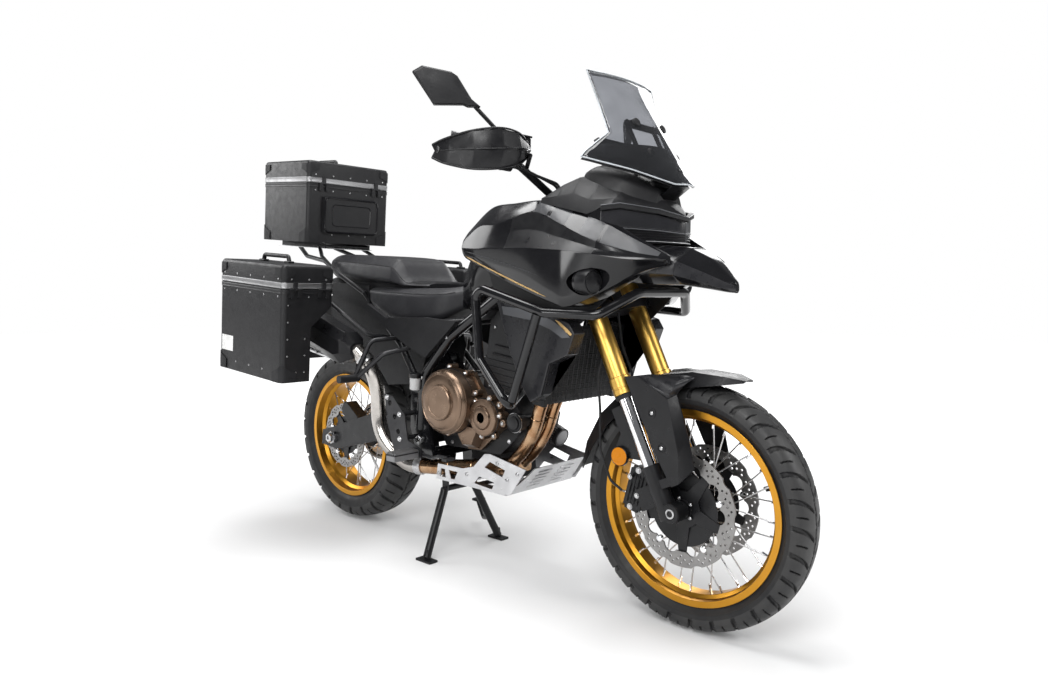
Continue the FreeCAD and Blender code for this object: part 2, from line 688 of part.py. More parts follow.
def swing_bolt():
    """The swingarm pivot bolt through frame and arm."""
    return [across(swing_pivot.x, swing_pivot.z, -158, 158, pivot_radius)]


def rear_axle_bar():
    """The rear axle with its spacers and chain adjusters."""
    bar = across(rear_axle.x, rear_axle.z, -140, 140, rear_axle_radius)
    right = across(rear_axle.x, rear_axle.z, -99, -rear_hub["half_width"] - 1, 19)
    left = across(rear_axle.x, rear_axle.z, chain_plane + 5, 99, 19)
    heads = [across(rear_axle.x, rear_axle.z, s * 129, s * 138, 22) for s in (1, -1)]
    return [joined([bar, right, left] + heads)]


def shock_absorber():
    """The single spring unit ahead of the rear wheel."""
    low, high = shock_low, shock_high
    axis = (high - low).normalize()
    body = rod(low, high, 14)
    coils = [rod(low + axis * d, low + axis * (d + 9), 34) for d in range(40, 170, 21)]
    eyes = [across(p.x, p.z, -18, 18, 17) for p in (low, high)]
    return [joined([body] + coils + eyes)]


def drive_chain():
    """The chain as one closed loop of its true height and width, round both sprockets."""
    def loop(grow):
        r1, r2 = gearbox_sprocket_radius + grow, chain_pitch_radius + grow
        c1, c2 = gearbox_sprocket, rear_axle
        d = c1 - c2
        reach = math.hypot(d.x, d.z)
        base = math.atan2(d.z, d.x)
        spread = math.acos((r2 - r1) / reach)
        y = chain_plane - chain_half_width

        def at(c, r, a):
            return V(c.x + r * math.cos(a), y, c.z + r * math.sin(a))
        upper, lower = base + spread, base - spread
        return Part.Wire([
            Part.LineSegment(at(c2, r2, upper), at(c1, r1, upper)).toShape(),
            Part.Arc(at(c1, r1, upper), at(c1, r1, base), at(c1, r1, lower)).toShape(),
            Part.LineSegment(at(c1, r1, lower), at(c2, r2, lower)).toShape(),
            Part.Arc(at(c2, r2, lower), at(c2, r2, base + math.pi), at(c2, r2, upper)).toShape()])
    width = V(0, 2 * chain_half_width, 0)
    outer = Part.Face(loop(chain_half_height)).extrude(width)
    inner = Part.Face(loop(-chain_half_height)).extrude(width)
    return [outer.cut(inner)]


def gearbox_sprocket_node():
    """The small sprocket inside the chain."""
    y0 = chain_plane - 3.5
    wheel = across(gearbox_sprocket.x, gearbox_sprocket.z, y0, y0 + 7, gearbox_sprocket_radius - chain_half_height - 1)
    shaft = across(gearbox_sprocket.x, gearbox_sprocket.z, 66, y0, 14)
    return [joined([wheel, shaft])]


def rear_caliper():
    """The rear caliper above the swingarm, with its bracket."""
    return [caliper(rear_axle, -rear_disc_plane, rear_disc_radius, 55, 88, 40, -1)]


header_radius = 19.0
right_header = [(198, -48, 747), (262, -55, 722), (296, -90, 620), (273, -104, 540), (250, -101, 470),
                (205, -92, 412), (150, -86, 362)]
left_header = [(198, 48, 747), (264, 38, 722), (292, -12, 620), (266, -34, 540), (245, -36, 470),
               (205, -46, 402), (150, -46, 356)]
pipe_joint = V(-210, -136, 306)
link_pipe = [(152, -66, 350), (50, -74, 332), (-120, -116, 312), pipe_joint]
rise_pipe = [pipe_joint, pipe_joint + (pipe_joint - V(-120, -116, 312)) * 0.62, (-352, -172, 366), (-388, -174, 430),
             (-386, -178, 545), (-396, -200, 626), (-440, -226, 678)]


def exhaust_headers():
    """Two header pipes that join under the engine."""
    pipes = [pipe(right_header, header_radius, 38), pipe(left_header, header_radius, 38)]
    collector = loft([[(168, -112, 378), (168, -20, 372), (168, -20, 334), (168, -112, 338)],
                      [(120, -98, 368), (120, -52, 366), (120, -48, 322), (120, -98, 326)]])
    return [cut(joined(pipes + [collector, pipe(link_pipe, 25, 60)]), [plate(cylinder, -92, 92)])]


def exhaust_midpipe():
    """The polished pipe that rises to the silencer."""
    return [cut(pipe(rise_pipe, 25, [40, 40, 60, 50, 40]), silencer())]


def silencer():
    """The faceted silencer below the right luggage box."""
    rows = [(-429, 26, (-232, 676)), (-455, 50, (-236, 690)), (-480, 60, (-240, 690)), (-700, 66, (-236, 754)),
            (-760, 60, (-232, 772)), (-775, 44, (-231, 776))]
    sections = []
    for x, r, (y, z) in rows:
        w = min(r, 52)
        sections.append([(x, y + w, z - r * 0.45), (x, y + w * 0.5, z - r), (x, y - w * 0.5, z - r),
                         (x, y - w, z - r * 0.45), (x, y - w, z + r * 0.45), (x, y - w * 0.5, z + r * 0.95),
                         (x, y + w * 0.5, z + r * 0.95), (x, y + w, z + r * 0.45)])
    body = loft(sections)
    return [cut(body, [rod((-790, -232, 779), (-740, -233, 766), 24)])]


def skid_plate():
    """The aluminium guard under the engine, one folded sheet with windows."""
    side = [(-122, 281), (-113, 331), (0, 333), (49, 346), (96, 392), (118, 395), (262, 370), (205, 289), (183, 284)]
    flanks = both(plate(side, 147, 151))
    floor = slab([(-120, -151), (-120, 151), (183, 151), (183, -151)], 281, 285)
    nose = loft([[(183, -151, 281), (183, 151, 281), (187, 151, 281), (187, -151, 281)],
                 [(262, -112, 368), (262, 112, 368), (267, 112, 368), (267, -112, 368)]])
    flank_windows = [[(-102, 292), (-98, 318), (-80, 318), (-76, 292)], [(-62, 318), (-22, 318), (-36, 292), (-52, 292)],
                     [(52, 296), (74, 320), (140, 312), (128, 290)], [(96, 352), (118, 372), (182, 356), (170, 334)]]
    floor_windows = [[(x, -100), (x + 30, -100), (x + 30, -40), (x, -40)] for x in (-80, -10, 60, 130)]
    floor_windows += [[(x, 40), (x + 30, 40), (x + 30, 100), (x, 100)] for x in (-80, -10, 60, 130)]
    cutters = [plate(w, -160, 160) for w in flank_windows] + [slab(w, 270, 290) for w in floor_windows]
    cutters.append(box(-94, -26, 124, 160, 260, 340))
    return [cut(joined(flanks + [floor, nose]), cutters)]


def skid_mounts():
    """Stand-offs between the crankcase and the guard."""
    return [rod((x, y, 285.0), (x, y, 300.0), 9) for x in (-60, 100) for y in (5, 50)]


radiator_face = [(338, 566), (372, 775), (342, 781), (306, 572)]


def radiator():
    """Radiator core between its two end tanks."""
    core = plate(radiator_face, -150, 150)
    tanks = both(plate([(340, 560), (375, 782), (336, 790), (300, 567)], 150, 166))
    return [joined([core] + tanks)]


def radiator_mounts():
    """Brackets that hold the radiator to the down tubes."""
    tube = both(rod((250, 100, 690), (330, 100, 690), 5))
    return [cut(t, both(pipe(down_tube, 14, 40)) + radiator()) for t in tube]


# crash bar corners on the left
crash_hoop = [(202, 112, 575), (300, 262, 566), (192, 268, 690), (172, 268, 893), (425, 266, 826), (556, 212, 822),
              (612, 112, 880), (612, 0, 880)]
crash_brace = [(310, 259, 585), (404, 268, 822)]


def crash_bars():
    """The tubular guard round the fairing, one welded hoop."""
    half = [pipe(crash_hoop, 13, [26, 26, 30, 26, 40, 40]), rod(crash_brace[0], crash_brace[1], 13)]
    return [cut(joined(half + [flip(h) for h in half]), both(pipe(down_tube, 14.3, 40)))]


# ---- foot rests and stands -------------------------------------------------------------------
def foot_pegs():
    """Rider's pegs on their heel plates, with the brackets to the frame."""
    pieces = []
    for s in (1, -1):
        plate_y = s * 204
        heel = plate([(-316, 540), (-270, 534), (-212, 480), (-196, 400), (-132, 384), (-132, 350), (-262, 350),
                      (-282, 400)], plate_y - 2, plate_y + 2)
        windows = [across(x, z, plate_y - 5, plate_y + 5, 9) for x, z in ((-286, 512), (-262, 470), (-244, 424))]
        post = [rod((x, s * 150.0, z), (x, s * 203.0, z), 8) for x, z in ((-236, 480), (-236, 400))]
        peg = box(-176, -136, s * 212, s * 306, 355, 375)
        teeth = [box(-176 + n * 9.0, -173 + n * 9.0, s * 214, s * 304, 375, 381) for n in range(5)]
        knuckle = box(-166, -146, s * 206, s * 212, 352, 376)
        pieces.append(joined([cut(heel, windows), peg, knuckle] + teeth + post))
    return pieces


def passenger_pegs():
    """Passenger pegs on their looped hangers."""
    pieces = []
    for s in (1, -1):
        front = pipe([(-264, s * 140, 690), (-300, s * 222, 672), (-398, s * 252, 592)], 8, 30)
        back = pipe([(-330, s * 132, 722), (-362, s * 226, 712), (-408, s * 252, 598)], 8, 30)
        peg = rod((-403, s * 246, 588), (-403, s * 322, 588), 13)
        pieces.append(joined([front, back, peg]))
    return [cut(p, both(pipe(seat_strut, rail_radius, 60)) + both(pipe(seat_rail, rail_radius, 60))) for p in pieces]


def foot_controls():
    """Brake pedal on the right and gear lever on the left."""
    brake = pipe([(-150, -190, 362), (-90, -194, 358), (-40, -212, 374), (10, -222, 376)], 6, 14)
    toe = box(4, 26, -240, -206, 370, 378)
    pivot = across(-150, 362, -201.7, -184, 11)
    gear = pipe([(-160, 178, 372), (-60, 192, 374), (30, 206, 376)], 6, 14)
    gear_toe = across(30, 376, 200, 246, 9)
    gear_pivot = across(-160, 372, 150.3, 186, 9)
    return [joined([brake, toe, pivot]), joined([gear, gear_toe, gear_pivot])]


def centre_stand():
    """Both legs with their feet on the floor and the cross tube between them."""
    pieces = []
    for s in (1, -1):
        leg = pipe([(-180, s * 55, 285), (-176, s * 66, 220), (-152, s * 164, 20)], 13, 60)
        foot = box(-186, -118, s * 148, s * 182, floor, floor + 7)
        web = plate([(-160, 14), (-140, 14), (-146, 46), (-158, 46)], s * 160, s * 168)
        eye = across(stand_pivot.x, stand_pivot.z, s * stand_eye[0], s * stand_eye[1], 19)
        leg = cut(leg, [across(stand_pivot.x, stand_pivot.z, s * stand_eye[1], s * 140, 60),
                        across(stand_pivot.x, stand_pivot.z, 0, s * stand_eye[0], 60)])
        pieces += [leg, foot, web, eye]
    pieces.append(across(-176, 222, -66, 66, 10))
    lever = pipe([(-162, 138, 84), (-235, 175, 62), (-318, 226, 100)], 7, 30)
    pads = box(-336, -306, 214, 254, 98, 106)
    bore = across(stand_pivot.x, stand_pivot.z, -200, 200, bolt_radius + axle_gap)
    return [cut(joined(pieces + [lever, pads]), [bore])]


def on_side_pivot(near, far, radius, bore=0.0):
    """A round piece on the side stand's tilted pivot, between two distances out from the bracket."""
    return rod(side_stand_pivot + side_stand_axis * near, side_stand_pivot + side_stand_axis * far, radius, bore)


def stand_bolts():
    """Pivot bolts of both stands."""
    centre = [across(stand_pivot.x, stand_pivot.z, s * (stand_eye[0] - 12), s * (stand_eye[1] + 12), bolt_radius)
              for s in (1, -1)]
    side = on_side_pivot(-20, 24, bolt_radius)
    return centre + [side]


def side_stand():
    """The folded side stand: eye, leg and foot."""
    eye = on_side_pivot(1, 19, 17)
    leg = pipe([side_stand_pivot + side_stand_axis * 12, (-160, 176, 305), (-322, 196, 312)], 9, 80)
    foot = box(-352, -318, 180, 212, 298, 304)
    web = box(-336, -318, 190, 202, 302, 312)
    bore = on_side_pivot(-40, 60, bolt_radius + axle_gap)
    return [cut(joined([eye, leg, foot, web]), [bore])]


# ---- tank, seats and fairing -----------------------------------------------------------------
def rows_body(rows):
    """A symmetrical body from rows of [(x, half width, z), ...], bottom to top."""
    sections = []
    for row in rows:
        left = [(x, w, z) for x, w, z in row]
        right = [(x, -w, z) for x, w, z in reversed(row)]
        sections.append(left + right)
    return loft(sections)


def leaned(x, foot, sides, lean=math.tan(caster)):
    """A row whose plane leans back like the fork: x holds at height foot."""
    return [(x - (z - foot) * lean, w, z) for w, z in sides]


def side_body(rows):
    """A body on the right side from rows of (x, [(distance out, z), ...])."""
    return loft([[(x, -w, z) for w, z in side] for x, side in rows])


tank_rows = [
    [(-60, 70, 812), (-60, 98, 850), (-60, 95, 905), (-60, 60, 918)],
    [(30, 112, 838), (30, 146, 900), (30, 146, 985), (30, 88, 1030)],
    [(110, 125, 884), (110, 164, 960), (110, 158, 1072), (110, 90, 1112)],
    [(195, 125, 915), (195, 164, 980), (195, 158, 1098), (195, 84, 1140)],
    leaned(281, 960, [(110, 960), (158, 1000), (150, 1098), (78, 1132)]),
]
fairing_rows = [
    (84, [(190, 976), (226, 976), (233, 986), (238, 1002), (232, 1022), (214, 1044), (190, 1044)]),
    (160, [(176, 948), (240, 948), (252, 972), (256, 998), (238, 1060), (190, 1114), (168, 1116)]),
    (240, [(172, 919), (246, 919), (258, 953), (264, 996), (244, 1064), (188, 1121), (166, 1126)]),
    (340, [(172, 883), (252, 883), (262, 930), (270, 994), (216, 1092), (186, 1122), (160, 1127)]),
    (440, [(170, 850), (256, 852), (263, 885), (266, 988), (224, 1056), (186, 1093), (158, 1098)]),
    (490, [(166, 841), (246, 843), (253, 868), (260, 984), (228, 1034), (184, 1078), (154, 1083)]),
    (556, [(150, 872), (196, 880), (212, 910), (240, 974), (222, 1006), (180, 1053), (148, 1058)]),
    (640, [(130, 925), (158, 928), (176, 942), (204, 961), (192, 980), (160, 1008), (134, 1012)]),
    (712, [(120, 948), (132, 948), (140, 954), (150, 961), (146, 966), (138, 970), (124, 972)]),
]
beak_rows = [
    [(566, 100, 905), (566, 147, 925), (566, 147, 986), (566, 90, 1000)],
    [(640, 88, 900), (640, 129.7, 930), (640, 129.7, 985), (640, 76, 1001)],
    [(711, 82, 899), (711, 119.9, 924), (711, 119.9, 960), (711, 38, 986)],
    [(724, 78, 898), (724, 122, 922), (724, 108, 956), (724, 34, 979)],
    [(772, 50, 890), (772, 80, 906), (772, 64, 926), (772, 20, 951)],
    [(812, 20, 883), (812, 32, 889), (812, 26, 900), (812, 8, 910)],
    [(828, 5, 881), (828, 8, 884), (828, 7, 890), (828, 4, 896)],
]
nose_rows = [
    [(345, 150, 1118), (345, 190, 1118), (345, 186, 1130), (345, 168, 1138), (345, 120, 1140)],
    [(400, 140, 1104), (400, 192, 1104), (400, 184, 1132), (400, 160, 1164), (400, 92, 1186)],
    [(448, 140, 1092), (448, 192, 1092), (448, 180, 1136), (448, 152, 1180), (448, 90, 1194)],
    [(500, 130, 1079), (500, 188, 1079), (500, 178, 1116), (500, 140, 1160), (500, 78, 1182)],
    [(560, 100, 1104), (560, 164, 1104), (560, 150, 1118), (560, 120, 1136), (560, 66, 1156)],
    [(620, 60, 1086), (620, 100, 1086), (620, 92, 1097), (620, 72, 1110), (620, 40, 1124)],
    [(678, 8, 1061), (678, 14, 1061), (678, 13, 1066), (678, 10, 1071), (678, 6, 1076)],
]
nose_under = [(345, 1117.7), (400, 1103.7), (448, 1091.7), (500, 1078.7), (560, 1103.7), (620, 1085.7), (678, 1060.7),
              (760, 1060)]
headlight_outline = [(676, 0), (644, 78), (576, 150), (540, 182), (486, 182), (486, -182), (540, -182), (576, -150),
                     (644, -78)]
passenger_rows = [
    [(-800, 60, 925), (-800, 84, 950), (-800, 80, 990), (-800, 56, 1006)],
    [(-700, 96, 914), (-700, 124, 940), (-700, 118, 985), (-700, 86, 1010)],
    [(-540, 112, 904), (-540, 140, 925), (-540, 134, 972), (-540, 98, 1004)],
    [(-350, 112, 900), (-350, 140, 915), (-350, 134, 955), (-350, 98, 986)],
    [(-250, 100, 898), (-250, 126, 908), (-250, 120, 940), (-250, 92, 966)],
    [(-214, 84, 897), (-214, 104, 901), (-214, 100, 908), (-214, 80, 914)],
]
rider_rows = [
    [(-500, 108, 827), (-500, 128, 850), (-500, 132, 885), (-500, 112, 896)],
    [(-340, 118, 780), (-340, 146, 822), (-340, 148, 875), (-340, 118, 893)],
    [(-150, 112, 782), (-150, 142, 820), (-150, 140, 870), (-150, 96, 891)],
    [(-66, 66, 822), (-66, 92, 842), (-66, 90, 880), (-66, 54, 899)],
]


def fuel_tank():
    """The tank between the fairing halves, hollowed for the spars."""
    return [cut(rows_body(tank_rows), spars(seat_gap))]


def fairing(side):
    """One half of the wing-shaped side fairing, with the lamp recess in its front."""
    body = side_body(fairing_rows)
    recess = rod((508, -222, 906), (620, -232, 902), 34)
    bosses = [rod((x, -164.3, z), (x, -186, z), 9) for x, z in ((150, 969), (300, 1010))]
    body = joined([cut(body, [recess])] + bosses)
    return [body if side < 0 else flip(body)]


def fog_lamps():
    """Round auxiliary lamps in the fairing recesses."""
    lamp = joined([rod((509, -222, 906), (548, -226, 905), 31), rod((548, -226, 905), (554, -226.5, 905), 27)])
    return both(lamp)


def wings():
    """Both side fairings as plain bodies, to cut what stands between them."""
    return both(side_body(fairing_rows))


def front_beak():
    """The beak above the front wheel."""
    return [cut(rows_body(beak_rows), wings())]


def headlight():
    """The lamp unit between beak and nose."""
    unit = slab(headlight_outline, 1004, 1110)
    over = rows_body([[(x, 230, z), (x, 230, 1200), (x, 10, 1200), (x, 5, z - 0.001)] for x, z in nose_under])
    under = box(470, 760, -240, 240, 990, 1004.0)
    return [max(cut(unit, [over, under] + wings() + front_beak()).Solids, key=lambda piece: piece.Volume)]


def lamp_bracket():
    """The carrier between head tube and lamp unit that holds nose, beak and instruments."""
    stay = plate([(386, 950), (392, 984), (470, 1024), (485.7, 1024), (485.7, 1002), (560, 960), (565.7, 960),
                  (565.7, 935), (545, 935), (470, 985)], -20, 20)
    return [cut(stay, [lean_back(steer_rod(0, 0, 900, 1200, head_tube_radius + 0.3))])]


def nose_panel():
    """The dark panel between headlight and windscreen, open where the fork legs swing."""
    swing = lean_back(steer_rod(0, 0, steer_at(1000), steer_at(1300), fork_swing_radius))
    return [cut(rows_body(nose_rows), [swing] + wings())]


# windscreen stations: height, middle, edge and half width
screen_rows = [(1172, 664, 640, 58), (1190, 655, 596, 128), (1222, 636, 500, 214), (1238, 626, 506, 200),
               (1290, 594, 528, 136), (1370, 543, 494, 134), (1455, 487, 466, 150)]


def windscreen():
    """The clear screen, one bent sheet."""
    sections = []
    for z, middle, edge, half in screen_rows:
        outer = [(edge, -half, z), (middle - (middle - edge) * 0.3, -half * 0.55, z), (middle, 0, z),
                 (middle - (middle - edge) * 0.3, half * 0.55, z), (edge, half, z)]
        sections.append(outer + [(x - 4, y, z) for x, y, z in reversed(outer)])
    return [loft(sections)]


def screen_bracket():
    """The black carrier behind the screen."""
    rails = [pipe([(552, s * 62, 1140), (574, s * 62, 1235), (528, s * 62, 1330)], 6, 30) for s in (1, -1)]
    bars = [box(566, 574, -62, 62, 1228, 1244), box(530, 538, -62, 62, 1312, 1328)]
    knobs = [rod(a, b, 9) for s in (1, -1) for a, b in (((572, s * 62, 1237), (600, s * 62, 1237)),
                                                         ((534, s * 62, 1320), (553, s * 62, 1320)))]
    return [cut(joined(rails + bars + knobs), nose_panel() + windscreen())]


def dashboard():
    """The instrument panel."""
    panel = box(-8, 8, -88, 88, 0, 96)
    panel.rotate(V(0, 0, 0), V(0, 1, 0), -22)
    panel.translate(V(486, 0, 1200))
    stem = box(472, 496, -20, 20, 1170, 1212)
    return [cut(joined([panel, stem]), nose_panel())]


shroud_outline = [(205, 850), (320, 842), (466, 800), (484, 772), (462, 716), (398, 688), (372, 602), (334, 578),
                  (300, 622), (258, 708)]


def shroud(side):
    """The panel beside the radiator."""
    body = plate(shroud_outline, -214, -166 - seat_gap)
    hollow = plate([(x * 0.93 + 24, z * 0.93 + 50) for x, z in shroud_outline], -209, -160)
    body = cut(body, [hollow])
    return [body if side < 0 else flip(body)]


side_panel_outline = [(2, 786), (-140, 668), (-230, 700), (-330, 748), (-474, 824), (-440, 832), (-338, 788),
                      (-150, 794)]


tail_cover_outline = [(-506, 893), (-506, 815), (-560, 822), (-700, 852), (-800, 880), (-800, 898), (-640, 901)]


def side_panels():
    """Triangular covers below the rider's seat, and the thin covers beside the seat rails."""
    cover = cut(plate(tail_cover_outline, 119 + seat_gap, 123), [rod((-520, 100, 824), (-520, 136, 872), 8 + seat_gap)])
    return both(plate(side_panel_outline, 164 + seat_gap, 182)) + both(cover)


def rider_seat():
    """The rider's seat pad."""
    return [cut(rows_body(rider_rows), both(pipe(seat_rail, rail_radius + seat_gap, 60)) + [
        across(-480, 812, -120, 120, 9 + seat_gap)] + spars(seat_gap) + passenger_seat())]


def passenger_seat():
    """The passenger's seat pad."""
    return [rows_body(passenger_rows)]


def tail_unit():
    """The body below the passenger seat, ending in the tail lamp."""
    body = rows_body([
        [(-506, 62, 806), (-506, 80, 816), (-506, 80, 840), (-506, 60, 846)],
        [(-560, 62, 830), (-560, 84, 845), (-560, 84, 890), (-560, 60, 908)],
        [(-790, 50, 868), (-790, 76, 880), (-790, 76, 905), (-790, 50, 928)],
        [(-862, 34, 888), (-862, 50, 896), (-862, 48, 912), (-862, 34, 918)]])
    return [cut(body, [across(-790, 886, -96, 96, 9.3)] + passenger_seat())]


def tail_lamp():
    """The red lamp across the tail."""
    return [rows_body([[(-862.3, 30, 890), (-862.3, 48, 897), (-862.3, 47, 911), (-862.3, 30, 916)],
                       [(-884, 24, 893), (-884, 40, 898), (-884, 40, 908), (-884, 24, 912)]])]


def plate_holder():
    """The rear mudguard with its blank plate."""
    board = loft([[(-800, -50, 870), (-800, 50, 870), (-806, 50, 870), (-806, -50, 870)],
                  [(-960, -62, 735), (-960, 62, 735), (-966, 62, 735), (-966, -62, 735)],
                  [(-1020, -68, 600), (-1020, 68, 600), (-1026, 68, 600), (-1026, -68, 600)]])
    sign = loft([[(-967, -90, 735), (-967, 90, 735), (-970, 90, 735), (-970, -90, 735)],
                 [(-1027, -90, 600), (-1027, 90, 600), (-1030, 90, 600), (-1030, -90, 600)]])
    return [board, sign]


def rear_indicators():
    """Turn lamps on short stalks."""
    lamps = []
    for s in (1, -1):
        stalk = rod((-930, s * 60.2, 764), (-935, s * 118, 768), 6)
        lamp = rod((-935, s * 112, 768), (-935, s * 152, 770), 15)
        lamps.append(joined([stalk, lamp]))
    return lamps


# ---- luggage ---------------------------------------------------------------------------------
side_box_front = V(-489, 0, 580)     # lower front corner of each side box
puck_drop = 37                       # the rubber rests on the carrier, below the split of a side box
top_box_front = V(-803, 0, 1051)     # lower front corner of the top box
corner_cut = 83.0                    # step in the inner lower edge, for the silencer
lid_gap = 0.4
edge_radius = 15.0           # rounded upright edges of the boxes
hinge_out = 4.5              # hinge pins stand this far ahead of a box's front face
hinge_half = 21.0
hinge_pin = 2.0
side_hinges = (side_box["outer"] - side_box["width"] / 2 - 52, side_box["outer"] - side_box["width"] / 2 + 52)
top_hinges = (-118.0, 118.0)


def lean_box(shape, corner):
    """Tilt a box about its lower front corner and set it in place."""
    shape = shape.copy()
    shape.rotate(V(0, 0, 0), V(0, 1, 0), box_tilt)
    shape.translate(corner)
    return shape


def side_box_outline(inset, top, low_cut=0.0):
    """End view of a side box, (y, z), shrunk by a wall."""
    out, inn = side_box["outer"] - inset, side_box["outer"] - side_box["width"] + inset
    step = inn + corner_cut
    low = inset
    return [(out, low), (out, top), (inn, top), (inn, 248 + inset * 0.4), (step, 176 + inset * 0.4), (step, low)]


def end_prism(outline, x0, x1):
    """A (y, z) outline given a length along X."""
    loop = Part.makePolygon([V(x0, y, z) for y, z in outline + outline[:1]])
    return Part.Face(loop).extrude(V(x1 - x0, 0, 0))


def rounded(shape, radius, lowest=0.0):
    """Round the upright edges of a box that rise above a height."""
    upright = [e for e in shape.Edges if abs(e.Vertexes[0].X - e.Vertexes[1].X) < 0.01
               and abs(e.Vertexes[0].Y - e.Vertexes[1].Y) < 0.01 and max(v.Z for v in e.Vertexes) > lowest]
    return shape.makeFillet(radius, upright)


def hinge_halves(split, centre):
    """Fixed knuckles with their pin, and the lid's own knuckle, on the front face at the split."""
    a, b = centre - hinge_half, centre + hinge_half
    third = hinge_half / 3
    fixed = [across(hinge_out, split, y0, y1, hinge_out - 0.5) for y0, y1 in ((a, centre - third), (centre + third, b))]
    fixed += [box(0, 2 * hinge_out - 1, y0, y1, split - 26, split) for y0, y1 in ((a, centre - third), (centre + third, b))]
    fixed.append(across(hinge_out, split, a, b, hinge_pin))
    moving = [across(hinge_out, split, centre - third + 0.4, centre + third - 0.4, hinge_out - 0.5),
              box(0, 2 * hinge_out - 1, centre - third + 0.4, centre + third - 0.4, split, split + 24)]
    bore = across(hinge_out, split, a, b, hinge_pin + axle_gap)
    return joined(fixed), cut(joined(moving), [bore])


def side_box_body():
    """The open lower part of the left box, drawn level: front at x = 0."""
    split = side_box["height"] - side_box["lid"]
    length = side_box["length"]
    shell = rounded(end_prism(side_box_outline(0, split - lid_gap / 2), -length, 0), edge_radius, split - 1)
    room = rounded(end_prism(side_box_outline(box_wall, split + 10), -length + box_wall, -box_wall),
                   edge_radius - box_wall, split - 1)
    inner, rest = side_box["outer"] - side_box["width"], split - puck_drop
    pucks = [rod((x, inner, rest), (x, inner - 7, rest), 14) for x in (-90, -length + 90)]
    return joined([cut(shell, [room])] + pucks + [hinge_halves(split, y)[0] for y in side_hinges])


def side_box_lid():
    """The lid of the left box with its hinge leaf and handle."""
    split = side_box["height"] - side_box["lid"]
    length, height = side_box["length"], side_box["height"]
    out, inn = side_box["outer"], side_box["outer"] - side_box["width"]
    shell = rounded(box(-length, 0, inn, out, split + lid_gap / 2, height), edge_radius)
    room = rounded(box(-length + box_wall, -box_wall, inn + box_wall, out - box_wall, split - 5, height - box_wall),
                   edge_radius - box_wall)
    middle = (out + inn) / 2
    handle = pipe([(-120, middle, height), (-128, middle, height + 22), (-277, middle, height + 22),
                   (-285, middle, height)], 7, 10)
    return joined([cut(shell, [room]), handle] + [hinge_halves(split, y)[1] for y in side_hinges])


def side_case(side):
    """Body and lid of one side box, in place."""
    body = lean_box(side_box_body(), side_box_front)
    lid = lean_box(side_box_lid(), side_box_front)
    return (body, lid) if side > 0 else (flip(body), flip(lid))


def top_case():
    """Body and lid of the top box, in place."""
    length, height, half = top_box["length"], top_box["height"], top_box["width"] / 2
    split = height - top_box["lid"]
    shell = rounded(box(-length, 0, -half, half, 0, split - lid_gap / 2), edge_radius)
    room = rounded(box(-length + box_wall, -box_wall, -half + box_wall, half - box_wall, box_wall, split + 10),
                   edge_radius - box_wall)
    body = joined([cut(shell, [room])] + [hinge_halves(split, y)[0] for y in top_hinges])
    lid_shell = rounded(box(-length, 0, -half, half, split + lid_gap / 2, height), edge_radius)
    lid_room = rounded(box(-length + box_wall, -box_wall, -half + box_wall, half - box_wall, split - 5,
                           height - box_wall), edge_radius - box_wall)
    handle = pipe([(-95, 0, height), (-100, 0, height + 16), (-212, 0, height + 16), (-217, 0, height)], 7, 8)
    lid = joined([cut(lid_shell, [lid_room]), handle] + [hinge_halves(split, y)[1] for y in top_hinges])
    return lean_box(body, top_box_front), lean_box(lid, top_box_front)


def top_box_pad():
    """The backrest pad on the front of the top box."""
    pad = box(0.3, 16, -120, 120, 40, 170)
    return [lean_box(pad, top_box_front)]


def luggage_rack():
    """The rack plate and grab rails behind the seat."""
    deck = box(-300, -4, -96, 96, -14, -8)
    slots = [box(x, x + 60, -60, 60, -20, 0) for x in (-270, -180, -90)]
    rims = [box(-300, -4, s * 96, s * 104, -18, -seat_gap) for s in (1, -1)]
    deck = lean_box(joined([cut(deck, slots)] + rims), top_box_front)
    rails = []
    for s in (1, -1):
        rails.append(pipe([(-520, s * 132, 866), (-640, s * 148, 930), (-742, s * 146, 982), (-900, s * 118, 1004),
                           (-1010, s * 80, 1046)], 8, 40))
        rails.append(pipe([(-700, s * 147, 961), (-790, s * 126, 1000), (-846, s * 98, 1037)], 7, 20))
        rails.append(rod((-520, s * 100, 824), (-520, s * 136, 872), 8))
    return [cut(joined([deck] + rails), both(pipe(seat_rail, rail_radius, 60)) + [rows_body(passenger_rows)])]


def side_carriers():
    """Hoops that carry the side boxes."""
    hoops = []
    for s in (1, -1):
        y = side_box["outer"] - side_box["width"] - 7.3
        hoop = pipe([(-352, s * 123.8, 715.7), (-372, s * 226, 730), (-440, s * (y - 8), 800), (-560, s * (y - 8), 858),
                     (-800, s * (y - 8), 876), (-860, s * 160, 900), (-800, s * 98, 905)], 8, 34)
        tab = [lean_box(box(x - 16, x + 16, s * (y - 8), s * y, 248, 276), side_box_front)
               for x in (-90, -side_box["length"] + 90)]
        hoops.append(joined([hoop] + tab))
    return [cut(h, both(pipe(seat_rail, rail_radius, 60)) + both(pipe(seat_strut, rail_radius, 60))) for h in hoops]


def luggage_nodes():
    """Boxes, lids, rack and carriers."""
    top_body, top_lid = top_case()
    left_body, left_lid = side_case(1)
    right_body, right_lid = side_case(-1)
    return {
        "luggage_rack": luggage_rack() + side_carriers(),
        "top_box_body": [top_body] + top_box_pad(), "top_box_lid": [top_lid],
        "left_box_body": [left_body], "left_box_lid": [left_lid],
        "right_box_body": [right_body], "right_box_lid": [right_lid],
    }


